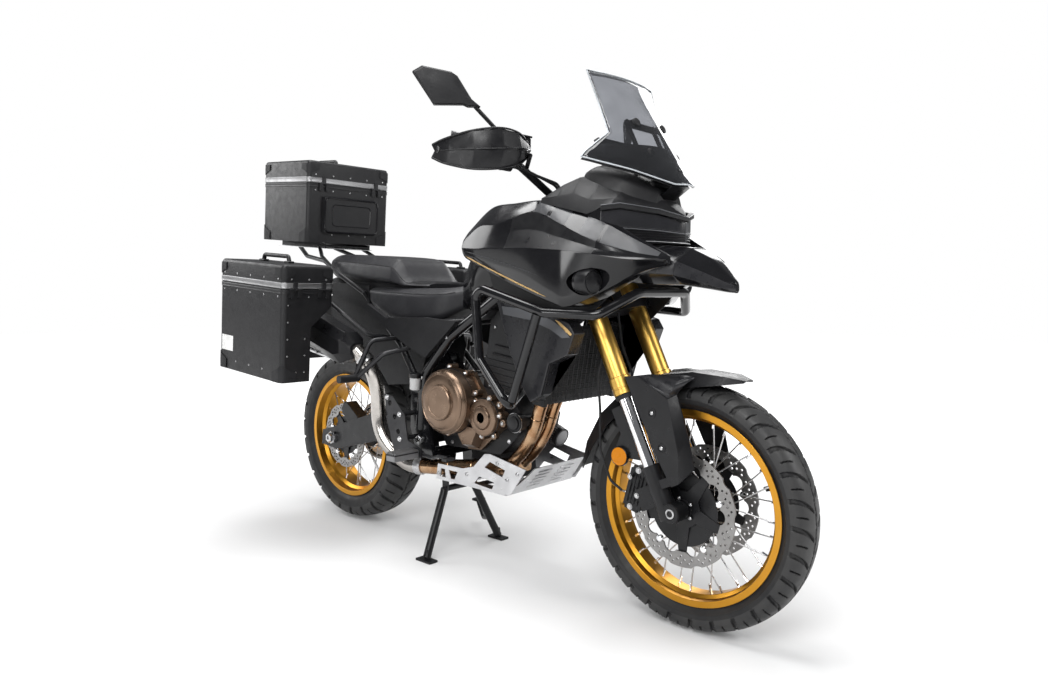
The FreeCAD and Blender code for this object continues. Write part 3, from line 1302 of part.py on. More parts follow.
def chassis_nodes():
    """Everything fixed to the frame."""
    return {
        "main_frame": main_frame(), "subframe": subframe(),
        "axle_and_bolts": rear_axle_bar() + swing_bolt() + stand_bolts(),
        "engine_block": engine_block(), "engine_covers": clutch_cover() + alternator_cover(),
        "swingarm": swingarm(), "shock_absorber": shock_absorber(),
        "drive_chain": drive_chain() + gearbox_sprocket_node(), "rear_caliper": rear_caliper(),
        "exhaust_headers": exhaust_headers(), "exhaust_midpipe": exhaust_midpipe(), "silencer": silencer(),
        "skid_plate": skid_plate() + skid_mounts(), "radiator": radiator() + radiator_mounts(),
        "crash_bars": crash_bars(), "foot_rests": foot_pegs() + passenger_pegs() + foot_controls(),
        "fuel_tank": fuel_tank(), "side_fairings": fairing(1) + fairing(-1),
        "front_beak": front_beak(), "nose_panel": nose_panel(),
        "front_lamps": headlight() + fog_lamps() + lamp_bracket(),
        "windscreen": windscreen(), "dashboard": dashboard() + screen_bracket(),
        "radiator_shrouds": shroud(1) + shroud(-1), "side_panels": side_panels(),
        "rider_seat": rider_seat(), "passenger_seat": passenger_seat(),
        "tail_unit": tail_unit() + plate_holder(), "rear_lamps": tail_lamp() + rear_indicators(),
    }


def write(nodes):
    """One STEP file for each node, moved to the machine's own origin."""
    os.makedirs("parts", exist_ok=True)
    for name, solids in nodes.items():
        shape = solids[0] if len(solids) == 1 else Part.makeCompound(solids)
        shape = shape.copy()
        shape.translate(V(frame_shift, 0, -floor))
        shape.exportStep(os.path.join("parts", name + ".step"))


write({**front_wheel_nodes(), **rear_wheel_nodes(), **steering_nodes(), **chassis_nodes(),
       "centre_stand": centre_stand(), "side_stand": side_stand(), **luggage_nodes()})
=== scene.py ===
"""Looks of the adventure motorcycle: finishes, moulded panels, tread, fasteners, luggage trim.

Metres.  X points forward, Y to the rider's left, Z up.  Measures are taken from the middle of the
wheelbase on the ground; Datum finds that point in the frame, and make_piece moves every mesh there.
"""

from __future__ import annotations

import logging
import math
from collections.abc import Iterator
from contextlib import contextmanager
from dataclasses import dataclass, field
from enum import Enum

import bmesh
import bpy
import numpy as np
from mathutils import Matrix, Vector

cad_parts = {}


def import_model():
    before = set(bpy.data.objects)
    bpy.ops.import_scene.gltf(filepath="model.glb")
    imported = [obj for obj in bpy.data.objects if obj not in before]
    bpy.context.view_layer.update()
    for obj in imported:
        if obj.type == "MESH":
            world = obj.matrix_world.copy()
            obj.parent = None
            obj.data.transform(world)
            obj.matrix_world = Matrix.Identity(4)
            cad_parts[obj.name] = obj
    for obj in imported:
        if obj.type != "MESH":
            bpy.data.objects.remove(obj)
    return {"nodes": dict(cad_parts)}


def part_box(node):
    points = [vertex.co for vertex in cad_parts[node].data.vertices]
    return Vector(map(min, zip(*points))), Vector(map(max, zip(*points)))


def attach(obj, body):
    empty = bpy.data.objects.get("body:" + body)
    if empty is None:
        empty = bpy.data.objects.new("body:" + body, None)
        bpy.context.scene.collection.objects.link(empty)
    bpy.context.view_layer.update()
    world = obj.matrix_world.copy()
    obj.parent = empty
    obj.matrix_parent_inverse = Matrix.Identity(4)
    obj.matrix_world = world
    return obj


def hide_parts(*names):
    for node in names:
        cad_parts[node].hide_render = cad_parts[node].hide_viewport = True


log = logging.getLogger("motorcycle")
Array = np.ndarray
Colour = tuple[float, float, float]
Vector3 = tuple[float, float, float]

UP = np.array([0.0, 0.0, 1.0])
ORIGIN = np.zeros(3)
SIDES = (1, -1)             # the rider's left, then the right
COAT_ROUGHNESS = 0.1
BUMP_DEPTH = 0.0006
LEAST_RELIEF = 0.015        # a finish with less relief than this gets no bump
SPOT_SIZE = 45.0            # noise scale of the uneven gloss
SHEET_SHARP = 32.0          # degrees from which an edge of a frame node stays crisp
BEVEL_ANGLE = 40.0          # degrees from which an edge is rounded
MERGE_DISTANCE = 0.00002
FLAT_ANGLE = 0.8            # degrees within which neighbouring faces become one


def set_inputs(node: bpy.types.Node, values: dict[str, float | tuple]) -> None:
    """Set a shader node's inputs by name."""
    for name, value in values.items():
        node.inputs[name].default_value = value


# ---- finishes --------------------------------------------------------------------------------
class Grain(Enum):
    """Fine relief of a finish."""

    SMOOTH = "smooth"
    CAST = "cast"
    BRUSHED = "brushed"
    LEATHER = "leather"
    RUBBER = "rubber"
    MOULDED = "moulded"
    FINS = "fins"


@dataclass(frozen=True)
class Finish:
    """One procedural surface: base colour with variation, gloss with variation, and relief."""

    name: str
    colour: Colour
    second: Colour | None = None
    metallic: float = 0.0
    roughness: float = 0.4
    uneven: float = 0.08
    grain: Grain = Grain.SMOOTH
    relief: float = 0.15
    size: float = 500.0
    coat: float = 0.0
    clear: float = 0.0
    specular: float = 0.5
    cloud: float = 14.0

    def material(self) -> bpy.types.Material:
        """Build the node tree once and hand out the same material afterwards.

        Returns:
            The Blender material of this finish.
        """
        found = bpy.data.materials.get(self.name)
        if found:
            return found
        made = bpy.data.materials.new(self.name)
        made.use_nodes = True
        tree = made.node_tree
        shader = tree.nodes["Principled BSDF"]
        place = tree.nodes.new("ShaderNodeTexCoord")
        self._tint(tree, shader, place)
        self._gloss(tree, shader, place)
        self._relief(tree, shader, place)
        set_inputs(shader, {"Metallic": self.metallic, "Coat Weight": self.coat,
                            "Coat Roughness": COAT_ROUGHNESS, "Transmission Weight": self.clear,
                            "Specular IOR Level": self.specular})
        made.diffuse_color = (*self.colour, 1.0)
        return made

    def _noise(self, tree: bpy.types.NodeTree, place: bpy.types.Node, size: float,
               stretch: Vector3 = (1.0, 1.0, 1.0), detail: float = 4.0) -> bpy.types.Node:
        """Noise on object coordinates, stretched by axis.

        Args:
            tree: the node tree to add to.
            place: the texture coordinate node.
            size: how many times the pattern repeats in a metre.
            stretch: scale along each axis.
            detail: octaves of noise.

        Returns:
            The noise node.
        """
        mapping = tree.nodes.new("ShaderNodeMapping")
        set_inputs(mapping, {"Scale": stretch})
        tree.links.new(place.outputs["Object"], mapping.inputs["Vector"])
        noise = tree.nodes.new("ShaderNodeTexNoise")
        set_inputs(noise, {"Scale": size, "Detail": detail})
        tree.links.new(mapping.outputs["Vector"], noise.inputs["Vector"])
        return noise

    def _tint(self, tree: bpy.types.NodeTree, shader: bpy.types.Node, place: bpy.types.Node) -> None:
        """Mix the two colours by slow clouds with fine detail.

        Args:
            tree: the node tree to add to.
            shader: the surface shader.
            place: the texture coordinate node.
        """
        second = self.second or tuple(min(1.0, c * 1.35 + 0.006) for c in self.colour)
        clouds = self._noise(tree, place, self.cloud, detail=8.0)
        ramp = tree.nodes.new("ShaderNodeValToRGB")
        ramp.color_ramp.elements[0].position = 0.38
        ramp.color_ramp.elements[0].color = (*self.colour, 1.0)
        ramp.color_ramp.elements[1].position = 0.68
        ramp.color_ramp.elements[1].color = (*second, 1.0)
        tree.links.new(clouds.outputs["Fac"], ramp.inputs["Fac"])
        tree.links.new(ramp.outputs["Color"], shader.inputs["Base Color"])

    def _gloss(self, tree: bpy.types.NodeTree, shader: bpy.types.Node, place: bpy.types.Node) -> None:
        """Vary the roughness a little, as handling and dust do.

        Args:
            tree: the node tree to add to.
            shader: the surface shader.
            place: the texture coordinate node.
        """
        spots = self._noise(tree, place, SPOT_SIZE)
        spread = tree.nodes.new("ShaderNodeMapRange")
        set_inputs(spread, {"From Min": 0.3, "From Max": 0.7,
                            "To Min": max(0.02, self.roughness - self.uneven),
                            "To Max": min(1.0, self.roughness + self.uneven)})
        tree.links.new(spots.outputs["Fac"], spread.inputs["Value"])
        tree.links.new(spread.outputs["Result"], shader.inputs["Roughness"])

    def _relief(self, tree: bpy.types.NodeTree, shader: bpy.types.Node, place: bpy.types.Node) -> None:
        """Drive a bump from the grain's own pattern; polished finishes have none.

        Args:
            tree: the node tree to add to.
            shader: the surface shader.
            place: the texture coordinate node.
        """
        if self.relief < LEAST_RELIEF:
            return
        if self.grain is Grain.LEATHER:
            source = tree.nodes.new("ShaderNodeTexVoronoi")
            set_inputs(source, {"Scale": self.size})
            tree.links.new(place.outputs["Object"], source.inputs["Vector"])
            height = source.outputs["Distance"]
        elif self.grain is Grain.FINS:
            source = tree.nodes.new("ShaderNodeTexWave")
            source.bands_direction = "Z"
            set_inputs(source, {"Scale": self.size, "Distortion": 0.0})
            tree.links.new(place.outputs["Object"], source.inputs["Vector"])
            height = source.outputs["Fac"]
        else:
            stretch = (0.04, 1.0, 1.0) if self.grain is Grain.BRUSHED else (1.0, 1.0, 1.0)
            height = self._noise(tree, place, self.size, stretch).outputs["Fac"]
        bump = tree.nodes.new("ShaderNodeBump")
        set_inputs(bump, {"Strength": self.relief, "Distance": BUMP_DEPTH})
        tree.links.new(height, bump.inputs["Height"])
        tree.links.new(bump.outputs["Normal"], shader.inputs["Normal"])


GLOSS_BLACK = Finish("gloss_black", (0.005, 0.005, 0.006), (0.007, 0.007, 0.008), roughness=0.17, uneven=0.03,
                     coat=0.15, specular=0.36, relief=0.02, size=90)
SATIN_BLACK = Finish("satin_black", (0.006, 0.006, 0.007), (0.009, 0.009, 0.01), roughness=0.34, specular=0.3,
                     grain=Grain.MOULDED, relief=0.12, size=700)
MATT_PLASTIC = Finish("matt_plastic", (0.008, 0.008, 0.009), (0.011, 0.011, 0.012), roughness=0.48,
                      specular=0.28, grain=Grain.MOULDED, relief=0.3, size=900)
CHARCOAL = Finish("charcoal_panel", (0.015, 0.015, 0.017), (0.019, 0.019, 0.021), roughness=0.3,
                  specular=0.35, grain=Grain.MOULDED, relief=0.05, size=800)
GREY_PANEL = Finish("grey_panel", (0.085, 0.088, 0.095), (0.1, 0.104, 0.112), metallic=0.2, roughness=0.38,
                    coat=0.2, relief=0.04, size=800)
SEAT_VINYL = Finish("seat_vinyl", (0.01, 0.01, 0.012), (0.015, 0.015, 0.017), roughness=0.5, specular=0.3,
                    grain=Grain.LEATHER, relief=0.25, size=620)
# lighter rubber for the tread blocks' faces: painted light, while the grooves keep the darker tyre rubber as
# painted shade
TYRE_LIT_FACE = Finish("tyre_block_face_lit", (0.026, 0.026, 0.0265), (0.036, 0.0355, 0.035), roughness=0.5,
                   specular=0.35, grain=Grain.RUBBER, relief=0.12, size=900)
TYRE_RUBBER = Finish("tyre_rubber", (0.01, 0.01, 0.011), (0.018, 0.0175, 0.017), roughness=0.52,
                     specular=0.35, grain=Grain.RUBBER, relief=0.35, size=420)
GRIP_RUBBER = Finish("grip_rubber", (0.006, 0.006, 0.007), roughness=0.6, specular=0.3, grain=Grain.RUBBER,
                     relief=0.3, size=700)
GOLD = Finish("gold_anodised", (0.58, 0.35, 0.08), (0.62, 0.38, 0.095), metallic=1.0, roughness=0.34,
              uneven=0.02, relief=0.01, size=2500)
RIM_GOLD = Finish("rim_gold", (0.5, 0.235, 0.025), (0.54, 0.26, 0.034), metallic=1.0, roughness=0.3,
                  uneven=0.02, relief=0.0)
CHROME = Finish("chrome", (0.8, 0.81, 0.83), metallic=1.0, roughness=0.07, uneven=0.03, relief=0.01, size=200)
STEEL = Finish("steel", (0.46, 0.46, 0.47), (0.55, 0.55, 0.55), metallic=1.0, roughness=0.3,
               grain=Grain.BRUSHED, relief=0.15, size=900)
DISC_STEEL = Finish("disc_steel", (0.235, 0.23, 0.225), (0.29, 0.285, 0.28), metallic=1.0, roughness=0.36,
                    grain=Grain.BRUSHED, relief=0.12, size=1200)
POLISHED = Finish("polished_pipe", (0.36, 0.34, 0.32), (0.46, 0.44, 0.415), metallic=1.0, roughness=0.22,
                  relief=0.0)
HEADER = Finish("heat_tinted", (0.3, 0.16, 0.08), (0.46, 0.31, 0.19), metallic=1.0, roughness=0.24,
                relief=0.06, size=300, cloud=26.0)
BRONZE = Finish("bronze_cover", (0.165, 0.112, 0.078), (0.205, 0.142, 0.1), metallic=0.85, roughness=0.32,
                grain=Grain.CAST, relief=0.15, size=800)
ENGINE_BLACK = Finish("engine_black", (0.008, 0.008, 0.009), (0.012, 0.012, 0.013), specular=0.35,
                      roughness=0.42, grain=Grain.CAST, relief=0.5, size=600)
BRUSHED_ALLOY = Finish("brushed_alloy", (0.5, 0.5, 0.51), (0.6, 0.6, 0.61), metallic=1.0, roughness=0.34,
                       grain=Grain.BRUSHED, relief=0.25, size=700)
CAST_ALLOY = Finish("cast_alloy", (0.2, 0.2, 0.205), (0.26, 0.26, 0.265), metallic=0.8, roughness=0.42,
                    grain=Grain.CAST, relief=0.3, size=700)
DARK_ALLOY = Finish("dark_alloy", (0.02, 0.02, 0.022), (0.03, 0.03, 0.032), metallic=0.5, roughness=0.4,
                    grain=Grain.CAST, relief=0.25, size=700)
BOX_BLACK = Finish("box_black", (0.008, 0.008, 0.009), (0.011, 0.011, 0.012), specular=0.32, roughness=0.42,
                   grain=Grain.CAST, relief=0.35, size=1100)
BOX_SILVER = Finish("box_silver", (0.27, 0.27, 0.275), (0.33, 0.33, 0.335), metallic=1.0, roughness=0.45,
                    grain=Grain.BRUSHED, relief=0.2, size=900)
CHAIN_STEEL = Finish("chain_steel", (0.22, 0.19, 0.15), (0.32, 0.29, 0.25), metallic=1.0, roughness=0.38,
                     relief=0.1)
SCREEN = Finish("clear_screen", (0.075, 0.078, 0.085), (0.095, 0.098, 0.106), roughness=0.03, uneven=0.01,
                clear=0.86, relief=0.0)
# light grey and half clear: a painted highlight along the screen's edge
SCREEN_EDGE_GLINT = Finish("screen_edge_glint", (0.55, 0.58, 0.61), roughness=0.2, coat=0.5, clear=0.35, relief=0.0)
LENS = Finish("lamp_lens", (0.9, 0.93, 0.95), roughness=0.05, uneven=0.01, clear=0.85, relief=0.0)
AMBER = Finish("amber_lens", (0.52, 0.165, 0.002), (0.58, 0.2, 0.004), roughness=0.3, specular=0.2,
               relief=0.1, size=300)
RED_LENS = Finish("red_lens", (0.35, 0.008, 0.008), roughness=0.15, coat=1.0, relief=0.1, size=300)
LENS_DARK = Finish("dark_lens", (0.012, 0.012, 0.014), roughness=0.08, uneven=0.01, coat=1.0, relief=0.0)
MIRROR_GLASS = Finish("mirror_glass", (0.85, 0.86, 0.88), metallic=1.0, roughness=0.02, uneven=0.005,
                      relief=0.0)
RADIATOR_MESH = Finish("radiator_mesh", (0.006, 0.006, 0.007), specular=0.3, roughness=0.45, grain=Grain.FINS,
                       relief=1.0, size=160)
WHITE_PLATE = Finish("white_plate", (0.72, 0.72, 0.71), roughness=0.35, relief=0.03)
CLEAR_TANK = Finish("reservoir_plastic", (0.4, 0.4, 0.4), (0.45, 0.45, 0.45), roughness=0.35, relief=0.03)
STRIPE_GOLD = Finish("stripe_gold", (0.62, 0.4, 0.15), (0.66, 0.44, 0.18), metallic=0.4, roughness=0.3,
                     coat=0.6, relief=0.02)
STRIPE_GREY = Finish("stripe_grey", (0.024, 0.025, 0.028), (0.031, 0.032, 0.036), specular=0.35,
                     roughness=0.42, coat=0.2, relief=0.02)


# ---- the machine's own measures --------------------------------------------------------------
@dataclass
class Datum:
    """Axles and the middle of the wheelbase, read from the frame."""

    front: Array
    rear: Array
    axle_height: float = 0.329

    @classmethod
    def from_frame(cls) -> "Datum":
        """Read both axle centres from the tyres' boxes."""
        ends = [np.mean([np.array(c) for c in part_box(n)], axis=0) for n in ("front_tyre", "rear_tyre")]
        return cls(front=ends[0], rear=ends[1])

    @property
    def shift(self) -> Array:
        """From the machine's own measures to the frame: middle of the wheelbase, and the axle's height."""
        return np.array([(self.front[0] + self.rear[0]) / 2, 0.0, self.front[2] - self.axle_height])

    def own(self, point: Array) -> Array:
        """A frame point in the machine's own measures."""
        return np.asarray(point, float) - self.shift


DATUM: Datum | None = None                      # both are filled by main()
FRAME_NODES: dict[str, bpy.types.Object] = {}


def metres(rows: float | list | tuple) -> Array:
    """Millimetres to metres."""
    return np.asarray(rows, float) / 1000.0


def side_name(side: int) -> str:
    """The word for a side in a piece's name."""
    return "left" if side > 0 else "right"


# ---- surfaces as whole arrays ----------------------------------------------------------------
@dataclass
class Surface:
    """Points and faces of one mesh; faces is a list of arrays, one row a face."""

    points: Array
    faces: list[Array]

    @staticmethod
    def join(parts: list["Surface"]) -> "Surface":
        """One surface out of many, their faces renumbered.

        Args:
            parts: surfaces to join.

        Returns:
            The joined surface.
        """
        starts = np.cumsum([0] + [len(p.points) for p in parts[:-1]])
        faces = [face + start for part, start in zip(parts, starts) for face in part.faces]
        return Surface(np.concatenate([p.points for p in parts]), faces)

    def moved(self, turn: Array, shift: Array) -> "Surface":
        """The surface after a rotation matrix and a shift."""
        return Surface(self.points @ np.asarray(turn).T + np.asarray(shift), self.faces)

    def standing(self, axis: Array | Vector3, place: Array | Vector3) -> "Surface":
        """The surface with its own Z turned to an axis and its origin at a place."""
        return self.moved(basis(axis), place)

    def turned(self) -> "Surface":
        """The same surface with every face turned round."""
        return Surface(self.points, [face[:, ::-1] for face in self.faces])

    def flipped(self) -> "Surface":
        """The mirror image on the other side of the machine, faces still outwards."""
        return Surface(self.points * (1.0, -1.0, 1.0), self.faces).turned()


def grid(points: Array, wrap_columns: bool = False) -> Surface:
    """Quads over a grid of points.

    Args:
        points: array of rows by columns by 3.
        wrap_columns: join the last column to the first.

    Returns:
        The surface over the grid.
    """
    rows, columns = points.shape[:2]
    row = np.arange(rows - 1)[:, None] * columns
    column = np.arange(columns if wrap_columns else columns - 1)[None, :]
    right = (column + 1) % columns
    quads = np.stack([row + column, row + right, row + columns + right, row + columns + column], axis=-1)
    return Surface(points.reshape(-1, 3), [quads.reshape(-1, 4)])


def capped(surface: Surface, rows: int, columns: int) -> Surface:
    """Close both ends of a tube-like grid with one face each."""
    ring = np.arange(columns)
    ends = [ring[None, ::-1], ring[None, :] + (rows - 1) * columns]
    return Surface(surface.points, surface.faces + ends)


def through_rows(rows: Array, per_gap: int) -> Array:
    """Catmull-Rom curves through every corner's run of rows: cubic in the share of each gap.

    Args:
        rows: rows by corners by coordinates.
        per_gap: new rows for each gap.

    Returns:
        The finer rows, which pass through the given ones.
    """
    run = np.concatenate([2 * rows[:1] - rows[1:2], rows, 2 * rows[-1:] - rows[-2:-1]])
    t = np.linspace(0.0, 1.0, per_gap, endpoint=False)[None, :, None, None]
    a, b, c, d = (run[i:len(run) - 3 + i, None] for i in range(4))
    curve = 0.5 * (2 * b + (c - a) * t + (2 * a - 5 * b + 4 * c - d) * t ** 2
                   + (3 * b - a - 3 * c + d) * t ** 3)
    return np.concatenate([curve.reshape(-1, *rows.shape[1:]), rows[-1:]])


def with_corners(rows: Array, radius: float, steps: int) -> Array:
    """Turn each corner of closed sections into a parabola between points a radius away from it.

    Args:
        rows: sections by corners by 3.
        radius: how far a corner's rounding reaches.
        steps: points for each corner.

    Returns:
        Sections with steps points for every corner.
    """
    before, after = np.roll(rows, 1, axis=1) - rows, np.roll(rows, -1, axis=1) - rows
    share = [np.minimum(0.48, radius / np.maximum(np.linalg.norm(side, axis=-1, keepdims=True), 1e-6))
             for side in (before, after)]
    start, end = rows + before * share[0], rows + after * share[1]
    t = np.linspace(0.0, 1.0, steps)[None, None, :, None]
    arcs = (1 - t) ** 2 * start[:, :, None] + 2 * t * (1 - t) * rows[:, :, None] + t ** 2 * end[:, :, None]
    return arcs.reshape(len(rows), -1, 3)


def moulded(rows: Array, radius: float, per_gap: int, steps: int, lip: float) -> Surface:
    """A moulded body through closed sections: cubic lengthwise, round corners, soft ends.

    Args:
        rows: sections by corners by 3, all running the same way round.
        radius: how far a corner's rounding reaches.
        per_gap: new sections for each gap.
        steps: points for each corner.
        lip: how far the end edges are rounded.

    Returns:
        A closed surface.
    """
    body = with_corners(through_rows(np.asarray(rows, float), per_gap), radius, steps)
    ends = []
    for end, inner in ((body[0], body[1]), (body[-1], body[-2])):
        centre = end.mean(axis=0)
        reach = np.linalg.norm(end - centre, axis=1, keepdims=True)
        inward = (inner.mean(axis=0) - centre) / max(np.linalg.norm(inner.mean(axis=0) - centre), 1e-6)
        ends.append((end - (end - centre) / np.maximum(reach, 1e-6) * np.minimum(lip, reach * 0.4),
                     end + inward * lip))
    body = np.concatenate([ends[0][0][None], ends[0][1][None], body[1:-1], ends[1][1][None],
                           ends[1][0][None]])
    return capped(grid(body, wrap_columns=True), *body.shape[:2])


def mirrored_sections(rows: tuple) -> Array:
    """Whole sections from left halves listed bottom to top as (x, half width, z) in millimetres."""
    left = metres(rows)
    return np.concatenate([left, left[:, ::-1] * (1.0, -1.0, 1.0)], axis=1)


def tube(path: Array, radius: float | Array, sides: int = 16, closed: bool = True) -> Surface:
    """A round tube: a circle carried along the path, square to its tangent.

    Args:
        path: points by 3.
        radius: one radius, or one for each point.
        sides: points round the circle.
        closed: cap the ends.

    Returns:
        The tube's surface.
    """
    path = np.asarray(path, float)
    along = np.gradient(path, axis=0)
    along /= np.linalg.norm(along, axis=1, keepdims=True)
    reference = np.eye(3)[np.argmin(np.abs(along).max(axis=0))]
    across = np.cross(along, reference)
    across /= np.linalg.norm(across, axis=1, keepdims=True)
    third = np.cross(along, across)
    a = np.linspace(0, 2 * math.pi, sides, endpoint=False)
    ring = across[:, None] * np.cos(a)[None, :, None] + third[:, None] * np.sin(a)[None, :, None]
    width = np.broadcast_to(np.asarray(radius, float), (len(path),))[:, None, None]
    made = grid(path[:, None] + ring * width, wrap_columns=True)
    return capped(made, len(path), sides) if closed else made


def bent(corners: Array, bend: float, steps: int = 10) -> Array:
    """A pipe's route: straight runs between corners, each corner eased by a parabola.

    Args:
        corners: points by 3.
        bend: how far from a corner its easing starts.
        steps: points for each corner.

    Returns:
        The points of the route.
    """
    before, after = corners[:-2] - corners[1:-1], corners[2:] - corners[1:-1]
    share = [np.minimum(0.48, bend / np.linalg.norm(side, axis=1, keepdims=True)) for side in (before, after)]
    start, end = corners[1:-1] + before * share[0], corners[1:-1] + after * share[1]
    t = np.linspace(0.0, 1.0, steps)[None, :, None]
    arcs = (1 - t) ** 2 * start[:, None] + 2 * t * (1 - t) * corners[1:-1, None] + t ** 2 * end[:, None]
    return np.concatenate([corners[:1], arcs.reshape(-1, 3), corners[-1:]])


def circle(angles: Array, radius: float | Array, y: float | Array = 0.0) -> Array:
    """Points round the Y axis: the angles' cosine and sine times the radius, at a given y."""
    return np.stack([np.cos(angles) * radius, np.broadcast_to(y, angles.shape), np.sin(angles) * radius],
                    axis=1)


def basis(axis: Array | Vector3) -> Array:
    """A rotation matrix whose third column is the axis.

    Args:
        axis: any direction but zero.

    Returns:
        The matrix, 3 by 3.
    """
    z = np.asarray(axis, float) / np.linalg.norm(axis)
    helper = np.eye(3)[np.argmin(np.abs(z))]
    x = np.cross(helper, z)
    x /= np.linalg.norm(x)
    return np.stack([x, np.cross(z, x), z], axis=1)


def spun(profile: Array | list[tuple[float, float]], centre: Array | Vector3, axis: Array | Vector3,
         sides: int) -> Surface:
    """A profile of (distance along the axis, radius) turned about the axis.

    Args:
        profile: corners from the back to the front; a radius of 0 closes the piece.
        centre: where distance 0 lies.
        axis: the direction of distance.
        sides: facets round.

    Returns:
        The turned surface.
    """
    p = np.asarray(profile, float)
    a = np.linspace(0, 2 * math.pi, sides, endpoint=False)
    ring = np.stack([np.cos(a), np.sin(a)], axis=-1)
    points = np.concatenate([p[:, None, 1:2] * ring[None],
                             np.broadcast_to(p[:, None, :1], (len(p), sides, 1))], axis=-1)
    made = capped(grid(points, wrap_columns=True), len(p), sides)
    return made.moved(basis(axis), centre)


def block(low: Array | Vector3, high: Array | Vector3) -> Surface:
    """An upright block between two opposite corners.

    Args:
        low: one corner.
        high: the corner across from it.

    Returns:
        The block's six faces.
    """
    low, high = np.minimum(low, high), np.maximum(low, high)
    x, y, z = np.meshgrid(*np.stack([low, high], axis=1), indexing="ij")
    points = np.stack([x, y, z], axis=-1).reshape(-1, 3)
    faces = np.array([[0, 1, 3, 2], [4, 6, 7, 5], [0, 4, 5, 1], [2, 3, 7, 6], [0, 2, 6, 4], [1, 5, 7, 3]])
    return Surface(points, [faces])


def sheet(outline: Array, depth: Vector3) -> Surface:
    """A flat outline given a thickness along a vector, closed all round.

    Args:
        outline: corners by 3.
        depth: the vector of its thickness.

    Returns:
        The closed plate.
    """
    low = np.asarray(outline, float)
    made = capped(grid(np.stack([low, low + depth]), wrap_columns=True), 2, len(low))
    normal = np.cross(low[1] - low[0], low[2] - low[1])
    return made if normal @ np.asarray(depth) > 0 else made.turned()


def scattered(piece: Surface, places: Array, axes: Array | Vector3) -> Surface:
    """Copies of a small piece, its own Z turned to each axis.

    Args:
        piece: drawn about the origin.
        places: copies by 3.
        axes: copies by 3, or one axis for all.

    Returns:
        All the copies as one surface.
    """
    axes = np.broadcast_to(np.asarray(axes, float), np.asarray(places).shape)
    return Surface.join([piece.standing(axis, place) for place, axis in zip(np.asarray(places, float), axes)])


def button_bolt(radius: float, height: float) -> Surface:
    """A button head with a round socket, standing on the origin."""
    return spun([(0.0, radius), (height * 0.55, radius * 0.96), (height * 0.9, radius * 0.72),
                 (height, radius * 0.5), (height * 0.45, radius * 0.44)], ORIGIN, UP, 12)


def hex_bolt(radius: float, height: float) -> Surface:
    """A hexagon head on its washer, standing on the origin."""
    washer = spun([(0.0, radius * 1.35), (height * 0.2, radius * 1.35)], ORIGIN, UP, 16)
    head = spun([(height * 0.2, radius), (height * 0.85, radius), (height, radius * 0.8)], ORIGIN, UP, 6)
    return Surface.join([washer, head])


# ---- making pieces ---------------------------------------------------------------------------
def mesh_of(name: str, surface: Surface) -> bpy.types.Mesh:
    """A mesh of a surface, moved from the machine's own measures to the frame's."""
    mesh = bpy.data.meshes.new(name)
    points = surface.points + DATUM.shift
    mesh.from_pydata(points.tolist(), [], [row for face in surface.faces for row in face.tolist()])
    return mesh


def new_object(name: str, data: bpy.types.ID) -> bpy.types.Object:
    """An object in the scene."""
    made = bpy.data.objects.new(name, data)
    bpy.context.scene.collection.objects.link(made)
    return made


def shade(mesh: bpy.types.Mesh, sharp: float) -> None:
    """Smooth shading with crisp edges from an angle in degrees."""
    mesh.polygons.foreach_set("use_smooth", np.ones(len(mesh.polygons), bool))
    mesh.set_sharp_from_angle(angle=math.radians(sharp))


@contextmanager
def editing(mesh: bpy.types.Mesh) -> Iterator[bmesh.types.BMesh]:
    """A mesh opened for editing and written back afterwards."""
    work = bmesh.new()
    work.from_mesh(mesh)
    yield work
    work.to_mesh(mesh)
    work.free()


def recalculate(piece: bpy.types.Object) -> None:
    """Point every face of a closed piece outwards."""
    with editing(piece.data) as work:
        bmesh.ops.recalc_face_normals(work, faces=work.faces)


def make_piece(name: str, surface: Surface | list[Surface], finish: Finish | tuple[Finish, ...],
               body: str = "chassis", *, bevel: float = 0.0, wall: float = 0.0, sharp: float = 38.0,
               stands_for: tuple[str, ...] = (), paint: Array | None = None,
               cutters: tuple[Surface, ...] = (), outwards: bool = False) -> bpy.types.Object:
    """Put a surface into the scene as one piece of the machine.

    Args:
        name: the piece's name.
        surface: its mesh, or the parts of it, in the machine's own measures.
        finish: its material, or several that paint chooses from.
        body: the moving body it belongs to.
        bevel: width of the rounding on its sharp edges.
        wall: thickness given to an open sheet.
        sharp: edges that turn by more than this many degrees stay sharp in shading.
        stands_for: frame nodes that it takes the place of.
        paint: the number of its finish for each face.
        cutters: closed surfaces taken out of it.
        outwards: point every face outwards afterwards.

    Returns:
        The new object.
    """
    surface = Surface.join(surface) if isinstance(surface, list) else surface
    mesh = mesh_of(name, surface)
    for part in (finish if isinstance(finish, tuple) else (finish,)):
        mesh.materials.append(part.material())
    if paint is not None:
        mesh.polygons.foreach_set("material_index", paint.astype(np.int32))
    mesh.validate()
    shade(mesh, sharp)
    piece = new_object(name, mesh)
    if wall:
        thick = piece.modifiers.new("wall", "SOLIDIFY")
        thick.thickness, thick.offset = wall, -1.0
    if bevel:
        soften(piece, bevel)
    if cutters:
        carve(piece, cutters)
    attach(piece, body)
    if stands_for:
        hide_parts(*stands_for)
    if outwards:
        recalculate(piece)
    log.info("%s: %d points on %s", name, len(surface.points), body)
    return piece


def settle(piece: bpy.types.Object) -> None:
    """Turn a piece's modifiers into its mesh."""
    graph = bpy.context.evaluated_depsgraph_get()
    made = bpy.data.meshes.new_from_object(piece.evaluated_get(graph), preserve_all_data_layers=True,
                                           depsgraph=graph)
    piece.modifiers.clear()
    piece.data = made


